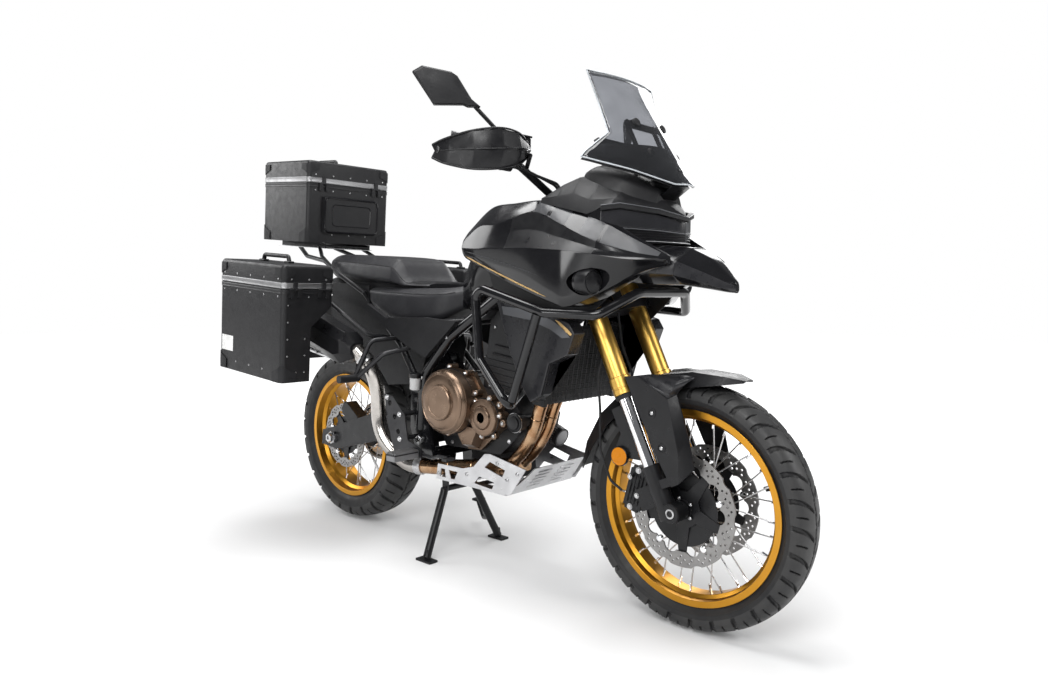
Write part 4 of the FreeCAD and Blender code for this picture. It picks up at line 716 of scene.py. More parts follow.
def carve(piece: bpy.types.Object, cutters: tuple[Surface, ...]) -> None:
    """Subtract closed surfaces from a piece.

    Args:
        piece: what they are taken out of.
        cutters: the surfaces, in the machine's own measures.
    """
    tools = [new_object("cutter", mesh_of("cutter", cutter)) for cutter in cutters]
    for tool in tools:
        change = piece.modifiers.new("cut", "BOOLEAN")
        change.operation, change.solver, change.object = "DIFFERENCE", "EXACT", tool
    settle(piece)
    for tool in tools:
        bpy.data.objects.remove(tool, do_unlink=True)


def soften(piece: bpy.types.Object, width: float) -> None:
    """Round a piece's sharp edges and keep its flat faces flat in shading.

    Args:
        piece: the piece.
        width: how far its edges are rounded.
    """
    edge = piece.modifiers.new("soft_edges", "BEVEL")
    edge.width, edge.segments = width, 2
    edge.limit_method, edge.angle_limit = "ANGLE", math.radians(BEVEL_ANGLE)
    edge.harden_normals = edge.use_clamp_overlap = True


def finished_copy(node: str, finish: Finish, body: str, width: float) -> bpy.types.Object:
    """A frame node's own shape with merged corners and softly rounded edges.

    Args:
        node: the frame node.
        finish: its material.
        body: the body it rides on.
        width: how far its edges are rounded, or 0.

    Returns:
        The piece that stands for the node.
    """
    mesh = FRAME_NODES[node].data.copy()
    mesh.materials.clear()
    if "custom_normal" in mesh.attributes:
        mesh.attributes.remove(mesh.attributes["custom_normal"])
    with editing(mesh) as work:
        bmesh.ops.remove_doubles(work, verts=work.verts, dist=MERGE_DISTANCE)
        bmesh.ops.dissolve_limit(work, angle_limit=math.radians(FLAT_ANGLE), verts=work.verts,
                                 edges=work.edges)
    shade(mesh, SHEET_SHARP)
    piece = new_object(node + "_finished", mesh)
    if width:
        soften(piece, width)
    piece.data.materials.append(finish.material())
    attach(piece, body)
    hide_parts(node)
    return piece


# ---- wheels ----------------------------------------------------------------------------------
@dataclass
class Tyre:
    """A dual-purpose tyre: curved V grooves from the middle to each shoulder, with short sipes."""

    node: str
    body: str
    centre: Array
    radius: float
    width: float
    bead: float
    rim_width: float
    blocks: int
    groove: float = 0.0062
    ridge: float = 0.0008
    tread_share: float = 0.42
    turn_steps: int = 1080
    profile_steps: int = 84

    def outline(self) -> Array:
        """Half profile corners (y, radius) from the rim to the crown."""
        seat, half = self.rim_width / 2 - 0.0043, self.width / 2
        shoulder = self.radius - 0.24 * (self.radius - self.bead)
        return np.array([(seat, self.bead + 0.0023), (seat, self.bead + 0.016),
                         (half - 0.005, self.bead + 0.03),
                         (half - 0.0005, (shoulder + self.bead + 0.028) / 2), (half - 0.003, shoulder),
                         (half * 0.72, self.radius - 0.0075), (half * 0.38, self.radius - 0.0017),
                         (0, self.radius)])

    def profile(self) -> Array:
        """The full profile, evenly spaced along its length."""
        half = self.outline()
        whole = np.concatenate([half, half[-2::-1] * (-1.0, 1.0)])
        smooth = through_rows(whole[:, None, :], 16)[:, 0]
        run = np.concatenate([[0], np.cumsum(np.linalg.norm(np.diff(smooth, axis=0), axis=1))])
        even = np.linspace(0, run[-1], self.profile_steps)
        return np.stack([np.interp(even, run, smooth[:, i]) for i in range(2)], axis=1)

    def depth(self, side: Array, turn: Array) -> Array:
        """Depth of the tread pattern, 0 on a block and 1 in a groove.

        Broad blocks: each groove leaves the middle steeply, bends over the crown and runs out across the
        shoulder, half a pitch apart left and right; a thin sipe splits each shoulder block and a zigzag runs
        round the middle.

        Args:
            side: signed share of the half width, as a grid.
            turn: share of one block pitch, as a grid.

        Returns:
            The share of the groove's depth at each grid point.
        """
        out = np.abs(side)
        phase = turn + np.where(side > 0, 0.5, 0.0)
        sweep = phase - 1.35 * out + 0.7 * out ** 2
        near = np.abs((sweep + 0.5) % 1.0 - 0.5)
        main = np.clip((0.06 + 0.045 * out - near) / 0.02, 0, 1) * np.clip((out - 0.1) / 0.03, 0, 1)
        half = np.abs((sweep + 0.22 * (out - 0.5)) % 1.0 - 0.5)
        sipe = (np.clip((0.03 - half) / 0.014, 0, 1) * np.clip((out - 0.4) / 0.02, 0, 1)
                * np.clip((0.8 - out) / 0.02, 0, 1))
        wave = 0.03 * np.abs((turn * 2 + 0.25) % 1.0 - 0.5) * 2
        zigzag = np.clip((0.03 - np.abs(side - wave + 0.015)) / 0.012, 0, 1)
        reach = np.clip((0.985 - out) / 0.05, 0, 1)
        return np.maximum.reduce([main, 0.8 * sipe, 0.8 * zigzag]) * reach

    def build(self) -> None:
        """Carve the pattern into the turned profile, paint the block faces lighter than the grooves as
        painted light and shade, and put the tyre on its wheel.
        """
        profile = self.profile()
        turn = np.linspace(0, 2 * math.pi, self.turn_steps, endpoint=False)
        tread_edge = self.radius - self.tread_share * (self.radius - self.bead)
        run = np.concatenate([[0], np.cumsum(np.linalg.norm(np.diff(profile, axis=0), axis=1))])
        on_tread = profile[:, 1] >= tread_edge - 0.006
        middle = run[-1] / 2
        reach = (run[on_tread][-1] - run[on_tread][0]) / 2
        side = np.broadcast_to(((run - middle) / reach)[:, None], (len(run), len(turn)))
        share = np.broadcast_to((turn * self.blocks / (2 * math.pi))[None, :], side.shape)
        cut = self.depth(side, share) * self.groove * (np.abs(side) < 1.0)
        ridge = self.ridge * (np.abs(side) > 1.12) * (np.abs(side) < 1.17)
        slope = np.gradient(profile, axis=0)
        normal = np.stack([-slope[:, 1], slope[:, 0]], axis=1)
        outward = np.stack([profile[:, 0], profile[:, 1] - (self.bead + 0.03)], axis=1)
        normal *= np.sign(np.sum(normal * outward, axis=1, keepdims=True))
        normal /= np.linalg.norm(normal, axis=1, keepdims=True)
        y = profile[:, :1] + normal[:, :1] * (ridge - cut)
        r = profile[:, 1:2] + normal[:, 1:2] * (ridge - cut)
        points = np.stack([r * np.cos(turn), y, r * np.sin(turn)], axis=-1) + self.centre
        made, liner = grid(points, wrap_columns=True), grid(points[[-1, 0]], wrap_columns=True)
        deep = cut + np.roll(cut, -1, axis=1)
        # quads clear of the grooves take the lighter rubber: painted light on the blocks, painted shade in
        # the grooves
        face = (deep[:-1] + deep[1:] < self.groove) & (np.abs(side[:-1]) < 0.97)
        paint = np.concatenate([face.ravel(), np.zeros(len(turn), bool)])
        make_piece(self.node + "_tread", [made, liner], (TYRE_RUBBER, TYRE_LIT_FACE), self.body, sharp=30,
                   stands_for=(self.node,), paint=paint)


@dataclass
class Wheel:
    """Rim, hub, spokes and discs with their nipples, buttons and caps."""

    prefix: str
    centre: Array
    bead: float
    rim_width: float
    discs: list[tuple[float, float]]
    spokes: int = 32

    @property
    def body(self) -> str:
        """The moving body."""
        return self.prefix + "_wheel"

    def nipples(self) -> None:
        """Spoke nipples in the rim, on the places of the frame's spokes."""
        n = np.arange(self.spokes)
        angle = n * 2 * math.pi / self.spokes
        sign = np.where(n % 2 == 1, 1.0, -1.0)
        lean = np.where(n % 4 < 2, 1.0, -1.0)
        y = sign * (self.rim_width * 0.22 - 0.008 + lean * 0.0024)
        nipple = spun([(0, 0.0022), (0.002, 0.003), (0.014, 0.0032), (0.0185, 0.0044)], ORIGIN, UP, 8)
        make_piece(self.prefix + "_nipples",
                   scattered(nipple, self.centre + circle(angle, self.bead - 0.0335, y), circle(angle, 1.0)),
                   CHROME, self.body)

    def valve(self) -> None:
        """The valve stem with its cap, pointing at the hub."""
        axis = np.array([math.cos(0.35), 0.12, math.sin(0.35)])
        stem = spun([(0, 0.0032), (0.02, 0.0032), (0.021, 0.0042), (0.03, 0.0042), (0.031, 0.0026)],
                    self.centre + axis * (self.bead - 0.016), -axis, 12)
        make_piece(self.prefix + "_valve", stem, GRIP_RUBBER, self.body)

    def disc(self, number: int, plane: float, inner: float) -> None:
        """Buttons, carrier bowl and hub bolts of one brake disc.

        Args:
            number: its number in the pieces' names.
            plane: how far to the side it runs.
            inner: radius of the circle of buttons.
        """
        a = np.radians(90 + np.arange(5) * 72.0)
        face = np.array([0, math.copysign(1.0, plane), 0])
        proud = 0.0042 if self.prefix == "front" else 0.0012
        button = spun([(-0.006, 0.0085), (proud - 0.001, 0.0085), (proud, 0.007), (proud, 0.003),
                       (proud - 0.0012, 0.0028)], ORIGIN, UP, 16)
        make_piece(f"{self.prefix}_disc_buttons_{number}",
                   scattered(button, self.centre + circle(a, inner, plane), face), CHROME, self.body)
        bowl = spun([(-0.0125, 0.036), (-0.0085, 0.062), (-0.007, inner - 0.013), (-0.009, inner - 0.013),
                     (-0.0105, 0.062), (-0.0145, 0.036)], self.centre + (0, plane, 0), face, 48)
        make_piece(f"{self.prefix}_disc_bowl_{number}", bowl, SATIN_BLACK, self.body, sharp=30)
        spots = self.centre + circle(a + 0.3, 0.03, plane * 0.995)
        make_piece(f"{self.prefix}_hub_bolts_{number}", scattered(button_bolt(0.005, 0.004), spots, face),
                   STEEL, self.body)

    def build(self) -> None:
        """Finish the frame's pieces and add what fastens them."""
        finished_copy(self.prefix + "_rim", RIM_GOLD, self.body, 0.001)
        finished_copy(self.prefix + "_hub", SATIN_BLACK, self.body, 0.0012)
        spokes = FRAME_NODES[self.prefix + "_spokes"].data.materials
        spokes.clear()
        spokes.append(STEEL.material())
        self.nipples()
        self.valve()
        for number, (plane, inner) in enumerate(self.discs):
            self.disc(number, plane, inner)


# ---- painted panels --------------------------------------------------------------------------
def facet_numbers(rows: int, columns: int, steps: int) -> Array:
    """The facet of every grid quad; facet k runs from corner k to corner k + 1.

    Args:
        rows: rows of points.
        columns: points in a row.
        steps: points for each corner.

    Returns:
        One number for each quad.
    """
    column = np.arange((rows - 1) * columns) % columns
    return (column - steps // 2) % columns // steps


@dataclass
class SideFairings:
    """The wing-shaped fairing halves with their grey band, dark scoop, gold line and round lamps."""

    stations: tuple = (
        (84, ((190, 976), (226, 976), (233, 986), (238, 1002), (232, 1022), (214, 1044), (190, 1044))),
        (160, ((176, 948), (240, 948), (252, 972), (256, 998), (238, 1060), (190, 1114), (168, 1116))),
        (240, ((172, 919), (246, 919), (258, 953), (264, 996), (244, 1064), (188, 1121), (166, 1126))),
        (340, ((172, 883), (252, 883), (262, 930), (270, 994), (216, 1092), (186, 1122), (160, 1127))),
        (440, ((170, 850), (256, 852), (263, 885), (266, 988), (224, 1056), (186, 1093), (158, 1098))),
        (490, ((166, 841), (246, 843), (253, 868), (260, 984), (228, 1034), (184, 1078), (154, 1083))),
        (556, ((150, 872), (196, 880), (212, 910), (240, 974), (222, 1006), (180, 1053), (148, 1058))),
        (640, ((130, 925), (158, 928), (176, 942), (204, 961), (192, 980), (160, 1008), (134, 1012))),
        (712, ((120, 948), (132, 948), (140, 954), (150, 961), (146, 966), (138, 970), (124, 972))))
    scoop_depth: float = 0.012
    lamp_centre: Vector3 = (0.548, -0.226, 0.905)
    shroud_marks: tuple = (
        (GREY_PANEL, ((226, 838), (322, 831), (404, 806), (446, 786), (470, 762), (444, 759), (404, 780),
                      (330, 803), (232, 815))),
        (STRIPE_GOLD, ((420, 806), (434, 802), (462, 784), (477, 771), (473, 766), (452, 778))))
    duct_edges: tuple = ((462, 364, 716), (398, 359, 688), (385, 352, 645), (372, 345, 602), (340, 342, 582))
    liner: tuple = ((120, 160, 940), (150, 160, 862), (205, 161, 846), (320, 161, 836), (466, 161, 796),
                    (520, 158, 842), (556, 150, 876), (540, 150, 930), (420, 156, 960))
    steps: int = 3
    per_gap: int = 9

    def rows(self) -> Array:
        """Right-hand sections; one more corner between ridge and band sinks in as the scoop.

        Returns:
            Sections by corners by 3.
        """
        rows = metres([[(x, -y, z) for y, z in outline] for x, outline in self.stations])
        x = rows[:, 3, 0]
        sink = self.scoop_depth * np.clip(np.minimum((x - 0.26) / 0.12, (0.6 - x) / 0.12), 0, 1)
        middle = (rows[:, 3] * 0.45 + rows[:, 4] * 0.55) + np.stack([0 * x, sink, -0.35 * sink], axis=1)
        return np.insert(rows, 4, middle, axis=1)

    def surface(self) -> tuple[Surface, Array]:
        """Mould the right half and paint it by facet and by place along the machine.

        Returns:
            The right half, and the finish number of each face.
        """
        rows = self.rows()
        made = moulded(rows, 0.0028, self.per_gap, self.steps, 0.003)
        columns = rows.shape[1] * self.steps
        facet = facet_numbers(len(made.faces[0]) // columns + 1, columns, self.steps)
        x = made.points[made.faces[0]].mean(axis=1)[:, 0]
        band = (facet == 5) & (x > 0.335) & (x < 0.7)
        blocks = ((x > 0.382) & (x < 0.396)) | ((x > 0.452) & (x < 0.5)) | ((x > 0.56) & (x < 0.568))
        scoop = ((facet == 3) | (facet == 4)) & (x > 0.28) & (x < 0.56)
        paint = np.where(band & ~blocks, 1, np.where(scoop, 2, 0))
        return made, np.concatenate([paint, [0, 0]])

    def ribbon(self, name: str, path: Array, width: float, finish: Finish, target: bpy.types.Object) -> None:
        """A painted line laid on the panel: a strip beside it, wrapped on from the side.

        Args:
            name: the piece's name.
            path: corners of its middle line, beside the panel.
            width: its width, which tapers at both ends.
            finish: its paint.
            target: the panel.
        """
        fine = through_rows(path[:, None], 10)[:, 0]
        along = np.gradient(fine, axis=0)
        up = np.cross(along, (0.0, 1.0, 0.0))
        up /= np.linalg.norm(up, axis=1, keepdims=True)
        taper = np.minimum(1.0, np.minimum(np.linspace(0, 8, len(fine)), np.linspace(8, 0, len(fine))))
        half = taper[:, None] * width / 2
        strip = grid(np.stack([fine - up * half, fine, fine + up * half], axis=1))
        piece = make_piece(name, strip, finish)
        wrap = piece.modifiers.new("wrap", "SHRINKWRAP")
        wrap.wrap_method, wrap.project_limit = "PROJECT", 0.08
        wrap.use_project_y = wrap.use_positive_direction = wrap.use_negative_direction = True
        wrap.use_project_x = wrap.use_project_z = False
        wrap.offset, wrap.target = 0.0007, target
        settle(piece)
        thick = piece.modifiers.new("paint", "SOLIDIFY")
        thick.thickness, thick.offset = 0.0005, 0.0

    def lamp(self, side: int) -> None:
        """Round auxiliary lamp: black ring, domed lens and reflector."""
        for word, profile, sides, finish in (
                ("lamp", [(-30, 32.5), (0, 32.8), (5, 31.5), (6, 29), (-4, 26.2), (-12, 20), (-14, 4)], 40,
                 SATIN_BLACK),
                ("lens", [(-3.5, 25.8), (0.5, 22.5), (2.8, 15), (3.8, 6)], 32, LENS),
                ("reflector", [(-12, 12), (-9, 11), (-8, 4)], 20, CHROME)):
            shape = spun(metres(profile), np.array(self.lamp_centre) * (1, -side, 1),
                         (1.0, side * 0.1, -0.03), sides)
            make_piece(f"auxiliary_{word}_{side_name(side)}", shape, finish)

    def lines(self, side: int, piece: bpy.types.Object) -> None:
        """The gold line along the foot of one half and the fine line above it."""
        gold = metres([(98, 300, 979), (160, 300, 958), (240, 300, 930), (340, 300, 895), (428, 300, 866)])
        self.ribbon(f"gold_line_{side_name(side)}", gold * (1, side, 1), 0.0045, STRIPE_GOLD, piece)
        fine = metres([(104, 300, 992), (200, 300, 974), (310, 300, 948), (400, 300, 922)])
        self.ribbon(f"fine_line_{side_name(side)}", fine * (1, side, 1), 0.0016, STRIPE_GREY, piece)

    def lower_panels(self, side: int) -> None:
        """Marks on one shroud, the duct beside the radiator and the liner behind the fairing."""
        for tint, outline in self.shroud_marks:
            mark = metres([(x, side * 213.6, z) for x, z in outline])
            make_piece(f"shroud_{tint.name}_{side_name(side)}", sheet(mark, (0, side * 0.0009, 0)), tint,
                       outwards=True)
        duct = metres([[(x, side * 207, z), (core, side * 160, z)] for x, core, z in self.duct_edges])
        make_piece(f"radiator_duct_{side_name(side)}", grid(duct), MATT_PLASTIC, wall=0.002, sharp=20,
                   outwards=True)
        liner = metres([(x, side * y, z) for x, y, z in self.liner])
        make_piece(f"fairing_liner_{side_name(side)}", sheet(liner, (0, side * 0.003, 0)), MATT_PLASTIC,
                   bevel=0.001, outwards=True)

    def build(self) -> None:
        """Both halves, painted, with the lamp recess cut in."""
        right, paint = self.surface()
        recess = spun(metres([(-58, 35), (55, 34.5)]), self.lamp_centre, (1.0, -0.1, -0.03), 40)
        for side, shape, cutter in ((-1, right, recess), (1, right.flipped(), recess.flipped())):
            piece = make_piece(f"side_fairing_{side_name(side)}", shape,
                               (GLOSS_BLACK, STRIPE_GREY, SATIN_BLACK), sharp=17, paint=paint,
                               cutters=(cutter,), stands_for=("side_fairings",))
            self.lines(side, piece)
            self.lamp(side)
            self.lower_panels(side)


@dataclass
class Panel:
    """A painted body given by left-half sections in millimetres."""

    name: str
    node: str
    rows: tuple
    finishes: tuple[Finish, ...]
    radius: float = 0.01
    facets: tuple[int, ...] = ()
    steps: int = 4
    lip: float = 0.004

    def build(self) -> bpy.types.Object:
        """Mould the whole width; the listed facets take the second finish."""
        rows = mirrored_sections(self.rows)
        made = moulded(rows, self.radius, 8, self.steps, self.lip)
        columns = rows.shape[1] * self.steps
        facet = facet_numbers(len(made.faces[0]) // columns + 1, columns, self.steps)
        paint = np.concatenate([np.isin(facet, self.facets).astype(int), [0, 0]])
        return make_piece(self.name, made, self.finishes, sharp=24, paint=paint,
                          stands_for=(self.node,) if self.node else ())


TANK = Panel("tank_shell", "fuel_tank", (
    ((-60, 70, 812), (-60, 98, 850), (-60, 95, 905), (-60, 60, 918)),
    ((30, 112, 838), (30, 146, 900), (30, 146, 985), (30, 88, 1030)),
    ((110, 125, 884), (110, 164, 960), (110, 158, 1072), (110, 90, 1112)),
    ((195, 125, 915), (195, 164, 980), (195, 158, 1098), (195, 84, 1140)),
    ((264, 106, 962), (258, 158, 1000), (232, 150, 1098), (225, 74, 1129))), (GLOSS_BLACK,), 0.022, steps=6)
BEAK = Panel("beak_shell", "front_beak", (
    ((566, 100, 905), (566, 147, 925), (566, 147, 986), (566, 90, 1000)),
    ((640, 88, 900), (640, 129.7, 930), (640, 129.7, 985), (640, 76, 1001)),
    ((711, 82, 899), (711, 119.9, 924), (711, 119.9, 960), (711, 38, 995)),
    ((724, 78, 898), (724, 122, 922), (724, 108, 956), (724, 34, 989)),
    ((772, 50, 890), (772, 80, 906), (772, 66, 930), (772, 22, 962)),
    ((810, 22, 882), (810, 36, 890), (810, 32, 908), (810, 12, 924)),
    ((827, 7, 880), (827, 12, 887), (827, 11, 899), (827, 6, 908))), (GLOSS_BLACK, CHARCOAL), 0.005, (1, 5),
             steps=3)
COWL = Panel("screen_cowl", "", (
    ((446, 110, 1100), (446, 150, 1124), (446, 134, 1192), (446, 104, 1204)),
    ((488, 110, 1096), (488, 150, 1122), (488, 136, 1200), (488, 106, 1213)),
    ((560, 92, 1088), (560, 128, 1108), (560, 108, 1176), (560, 78, 1188)),
    ((626, 46, 1080), (626, 70, 1096), (626, 54, 1136), (626, 36, 1146))), (MATT_PLASTIC,), 0.012)


@dataclass
class Seat:
    """A seat pad: crowned foam under vinyl, with a sewn line along each side."""

    name: str
    node: str
    rows: tuple
    crown: float
    edge: float = 0.009
    steps: int = 5

    def build(self) -> None:
        """Mould the pad with tight edges, swell its top a little and lay the sewn lines along its sides."""
        rows = mirrored_sections(self.rows)
        body = with_corners(through_rows(rows, 10), self.edge, self.steps)
        share = np.linspace(0, 1, len(body))[:, None]
        ends = np.clip(np.minimum(share, 1 - share) / 0.05, 0, 1) ** 0.5
        centre = body.mean(axis=1, keepdims=True)
        body = centre + (body - centre) * (0.97 + 0.03 * ends[:, :, None])
        edge_y = np.abs(rows[:, 3, 1]).max()
        height = (body[..., 2] - centre[..., 2]) > 0
        body[..., 2] += self.crown * (np.clip(1 - (body[..., 1] / edge_y) ** 2, 0, 1) * height * ends - 1.0)
        made = capped(grid(body, wrap_columns=True), *body.shape[:2])
        piece = make_piece(self.name, made, SEAT_VINYL, sharp=34, stands_for=(self.node,))
        seam = 2 * self.steps + 3
        for side in SIDES:
            path = body[3:-3, seam if side > 0 else -seam - 1] + (0, side * 0.0004, 0.0002)
            make_piece(f"{self.name}_seam_{side_name(side)}", tube(path, 0.0013, 6), GRIP_RUBBER)


RIDER_SEAT = Seat("rider_seat_pad", "rider_seat", (
    ((-496, 118, 829), (-498, 128, 848), (-500, 131, 880), (-500, 110, 891)),
    ((-340, 138, 782), (-340, 146, 800), (-340, 147, 872), (-340, 118, 891)),
    ((-150, 132, 784), (-150, 141, 800), (-150, 139, 868), (-150, 98, 889)),
    ((-66, 82, 824), (-66, 91, 834), (-66, 89, 878), (-66, 56, 897))), crown=0.004)
PASSENGER_SEAT = Seat("passenger_seat_pad", "passenger_seat", (
    ((-798, 60, 927), (-799, 84, 950), (-799, 79, 988), (-799, 56, 1004)),
    ((-700, 96, 916), (-700, 124, 940), (-700, 117, 983), (-700, 86, 1008)),
    ((-540, 112, 906), (-540, 139, 925), (-540, 133, 970), (-540, 98, 1002)),
    ((-392, 112, 902), (-392, 139, 912), (-392, 133, 957), (-392, 98, 990)),
    ((-362, 110, 899), (-362, 136, 906), (-360, 130, 946), (-356, 96, 972)),
    ((-326, 106, 893), (-326, 130, 898), (-322, 124, 912), (-316, 92, 922)),
    ((-296, 102, 891), (-296, 124, 895), (-294, 118, 902), (-292, 90, 908)),
    ((-215, 84, 889), (-215, 103, 892), (-215, 99, 899), (-215, 80, 903))), crown=0.002)
SEAT_PAN = Panel("seat_pan", "", (
    ((-640, 70, 884), (-640, 100, 892), (-640, 104, 912), (-640, 60, 918)),
    ((-420, 84, 868), (-420, 112, 878), (-420, 114, 912), (-420, 70, 918)),
    ((-226, 76, 868), (-226, 98, 876), (-226, 100, 900), (-226, 60, 906))), (SATIN_BLACK,), 0.006)


@dataclass
class Windscreen:
    """The clear screen: one curved sheet with a light rim bead that paints the highlight along its edge, its
    knobs and washers.
    """

    stations: tuple = ((1155, 692, 672, 44), (1190, 660, 596, 128), (1222, 636, 500, 214),
                       (1238, 626, 506, 200), (1290, 594, 528, 136), (1370, 543, 494, 134),
                       (1455, 487, 466, 150))
    wall: float = 0.0036

    def sheet(self) -> Array:
        """Grid over the front face: cubic curves across through each station, straight runs upwards.

        Returns:
            Rows from the foot upwards, by columns from right to left, by 3.
        """
        rows = metres([[(edge, -half, z), (middle - (middle - edge) * 0.3, -half * 0.55, z), (middle, 0, z),
                        (middle - (middle - edge) * 0.3, half * 0.55, z), (edge, half, z)]
                       for z, middle, edge, half in self.stations])
        across = through_rows(np.swapaxes(rows, 0, 1), 8)
        upright = np.swapaxes(across, 0, 1)
        share = np.linspace(0, 1, 6, endpoint=False)[None, :, None, None]
        fine = upright[:-1, None] + (upright[1:, None] - upright[:-1, None]) * share
        return np.concatenate([fine.reshape(-1, *upright.shape[1:]), upright[-1:]])

    def build(self) -> None:
        """Sheet, rim bead and fixings."""
        face = self.sheet()
        make_piece("windscreen_sheet", grid(face), SCREEN, wall=self.wall, sharp=40,
                   stands_for=("windscreen",))
        foot = block(metres([528, -54, 1116]), metres([612, 54, 1172]))
        make_piece("screen_foot", foot, MATT_PLASTIC, bevel=0.01)
        apron = face[:22] + (-0.013, 0.0, -0.004)
        apron = np.concatenate([apron[:1] + (-0.045, 0.0, -0.03), apron])
        make_piece("screen_apron", grid(apron * (1, 0.93, 1)), SATIN_BLACK, wall=0.003, sharp=40)
        # a light grey bead round the sheet's edge: painted highlight
        ring = np.concatenate([face[0], face[1:, -1], face[-1, -2::-1], face[-2:0:-1, 0]]) + (-0.0018, 0, 0)
        make_piece("windscreen_rim_glint", tube(np.concatenate([ring, ring[:1]]), 0.0021, 8, closed=False),
                   SCREEN_EDGE_GLINT)
        for number, (x, z) in enumerate(((0.6005, 1.2375), (0.5555, 1.3205))):
            for side in SIDES:
                knob = spun(metres([(-12, 12), (1, 12.5), (6, 11.5), (7.5, 8), (6.2, 4)]),
                            (x + 0.004, side * 0.062, z), (1.0, side * 0.12, 0.45), 24)
                make_piece(f"screen_knob_{number}_{side_name(side)}", knob, GRIP_RUBBER)
        washer = spun(metres([(0, 13), (3, 13), (4.5, 10)]), (0.655, 0.0, 1.186), (1.0, 0, 0.35), 24)
        make_piece("screen_centre_washer", washer, SATIN_BLACK)


# ---- luggage ---------------------------------------------------------------------------------
@dataclass
class LuggageBox:
    """Trim of one aluminium box: corner caps, silver band, rivets, latches, handle ends and blank label."""

    name: str
    body: str
    lid: str
    corner: tuple[float, float]
    length: float
    height: float
    low: float
    high: float
    lid_height: float
    tilt: float = math.radians(4.0)
    side: int = 1
    step: float = 0.0
    has_label: bool = False

    def place(self, points: Array) -> Array:
        """Box measures (front face at x = 0) to the machine's: leaned back and moved to the corner.

        Args:
            points: points in box measures; y counts outwards on a side box.

        Returns:
            The same points in the machine's measures.
        """
        p = np.asarray(points, float)
        x = p[..., 0] * math.cos(self.tilt) + p[..., 2] * math.sin(self.tilt) + self.corner[0]
        z = -p[..., 0] * math.sin(self.tilt) + p[..., 2] * math.cos(self.tilt) + self.corner[1]
        return np.stack([x, p[..., 1] * self.side, z], axis=-1)

    def put(self, name: str, surface: Surface, finish: Finish, body: str, bevel: float = 0.0) -> None:
        """Place a surface drawn in box measures.

        Args:
            name: what follows the box's name.
            surface: the surface.
            finish: its material.
            body: the box's body or its lid.
            bevel: width of the rounding on its sharp edges.
        """
        placed = Surface(self.place(surface.points), surface.faces)
        make_piece(f"{self.name}_{name}", placed.turned() if self.side < 0 else placed, finish, body,
                   bevel=bevel, sharp=30)

    def perimeter(self, grow: float, radius: float = 0.015) -> Array:
        """Outline round the box at one height: rectangle with round corners, grown outwards.

        Args:
            grow: how far outside the sheet it runs.
            radius: of the sheet's corners.

        Returns:
            24 points as (x, y).
        """
        a = np.linspace(0, math.pi / 2, 6)
        r = radius + grow
        corners = []
        for number, (x, y) in enumerate(((0, self.high), (-self.length, self.high),
                                         (-self.length, self.low), (0, self.low))):
            turn = a + number * math.pi / 2
            centre = np.array([x + (-1 if x == 0 else 1) * radius,
                               y + (-1 if y == self.high else 1) * radius])
            corners.append(centre + r * np.stack([np.cos(turn), np.sin(turn)], axis=1))
        return np.concatenate(corners)

    def band(self, name: str, low: float, high: float, grow: float, finish: Finish, body: str) -> None:
        """A band of sheet round the box, with a folded lip along each edge.

        Args:
            name: what follows the box's name.
            low: height of its lower edge.
            high: height of its upper edge.
            grow: how far outside the sheet it runs.
            finish: its material.
            body: the box's body or its lid.
        """
        heights = [(low, 0.0002), (low, grow), (low + 0.0015, grow + 0.0006), (low + 0.003, grow),
                   (high - 0.003, grow), (high - 0.0015, grow + 0.0006), (high, grow), (high, 0.0002)]
        rings = np.stack([np.concatenate([self.perimeter(g), np.full((24, 1), z)], axis=1)
                          for z, g in heights])
        self.put(name, grid(rings, wrap_columns=True), finish, body)

    def cap(self, x_end: int, y_end: int, low: float, high: float, reach: float = 0.052) -> Surface:
        """A corner protector: a plate bent round the upright corner, tapering away from the end of the box.

        Args:
            x_end: 1 for the front, -1 for the rear.
            y_end: 1 for the outer face, -1 for the inner one.
            low: height of its straight edge.
            high: height of its tip, above or below.
            reach: how far it runs along each face.

        Returns:
            The plate, faces outwards.
        """
        a = np.linspace(0, math.pi / 2, 7)
        r = 0.0155
        x0, y0 = (0.0 if x_end > 0 else -self.length), (self.high if y_end > 0 else self.low)
        bend = np.stack([np.sin(a), np.cos(a)], axis=1) * r - r
        outline = np.concatenate([[(-reach, 0.0), (-reach * 0.6, 0.0)], bend,
                                  [(0.0, -reach * 0.6), (0.0, -reach)]])
        outline = outline * (x_end, y_end) + (x0, y0)
        out = np.array([[0, 1]] * 3 + [[math.sin(t), math.cos(t)] for t in a[1:-1]] + [[1, 0]] * 3,
                       float) * (x_end, y_end)
        far = np.abs(np.linspace(-1, 1, len(outline)))[:, None]
        rows = []
        for share, grow in ((0.0, 0.0), (0.0, 0.0026), (0.35, 0.003), (0.8, 0.0026), (0.8, 0.0)):
            top = low + (high - low) * (share / 0.8) * (1.0 - 0.45 * far ** 2)
            rows.append(np.concatenate([outline + out * grow, np.broadcast_to(top, (len(outline), 1))],
                                       axis=1))
        made = grid(np.stack(rows))
        return made if x_end * y_end > 0 else made.turned()

    def soft_loop(self, x: float, across: tuple[float, float], up: tuple[float, float],
                  radius: float) -> Array:
        """A rectangle with round corners in a plane parallel to the front face.

        Args:
            x: place of the plane.
            across: left and right edges.
            up: lower and upper edges.
            radius: of the corners.

        Returns:
            The loop's points, the first one again at the end.
        """
        a = np.linspace(0, math.pi / 2, 6)
        corners = []
        for number, (y, z) in enumerate(((across[1], up[1]), (across[0], up[1]),
                                         (across[0], up[0]), (across[1], up[0]))):
            turn = a + number * math.pi / 2
            centre = (y - math.copysign(radius, y - sum(across) / 2),
                      z - math.copysign(radius, z - sum(up) / 2))
            corners.append(np.stack([0 * turn + x, centre[0] + radius * np.cos(turn),
                                     centre[1] + radius * np.sin(turn)], 1))
        return np.concatenate(corners + [corners[0][:1]])

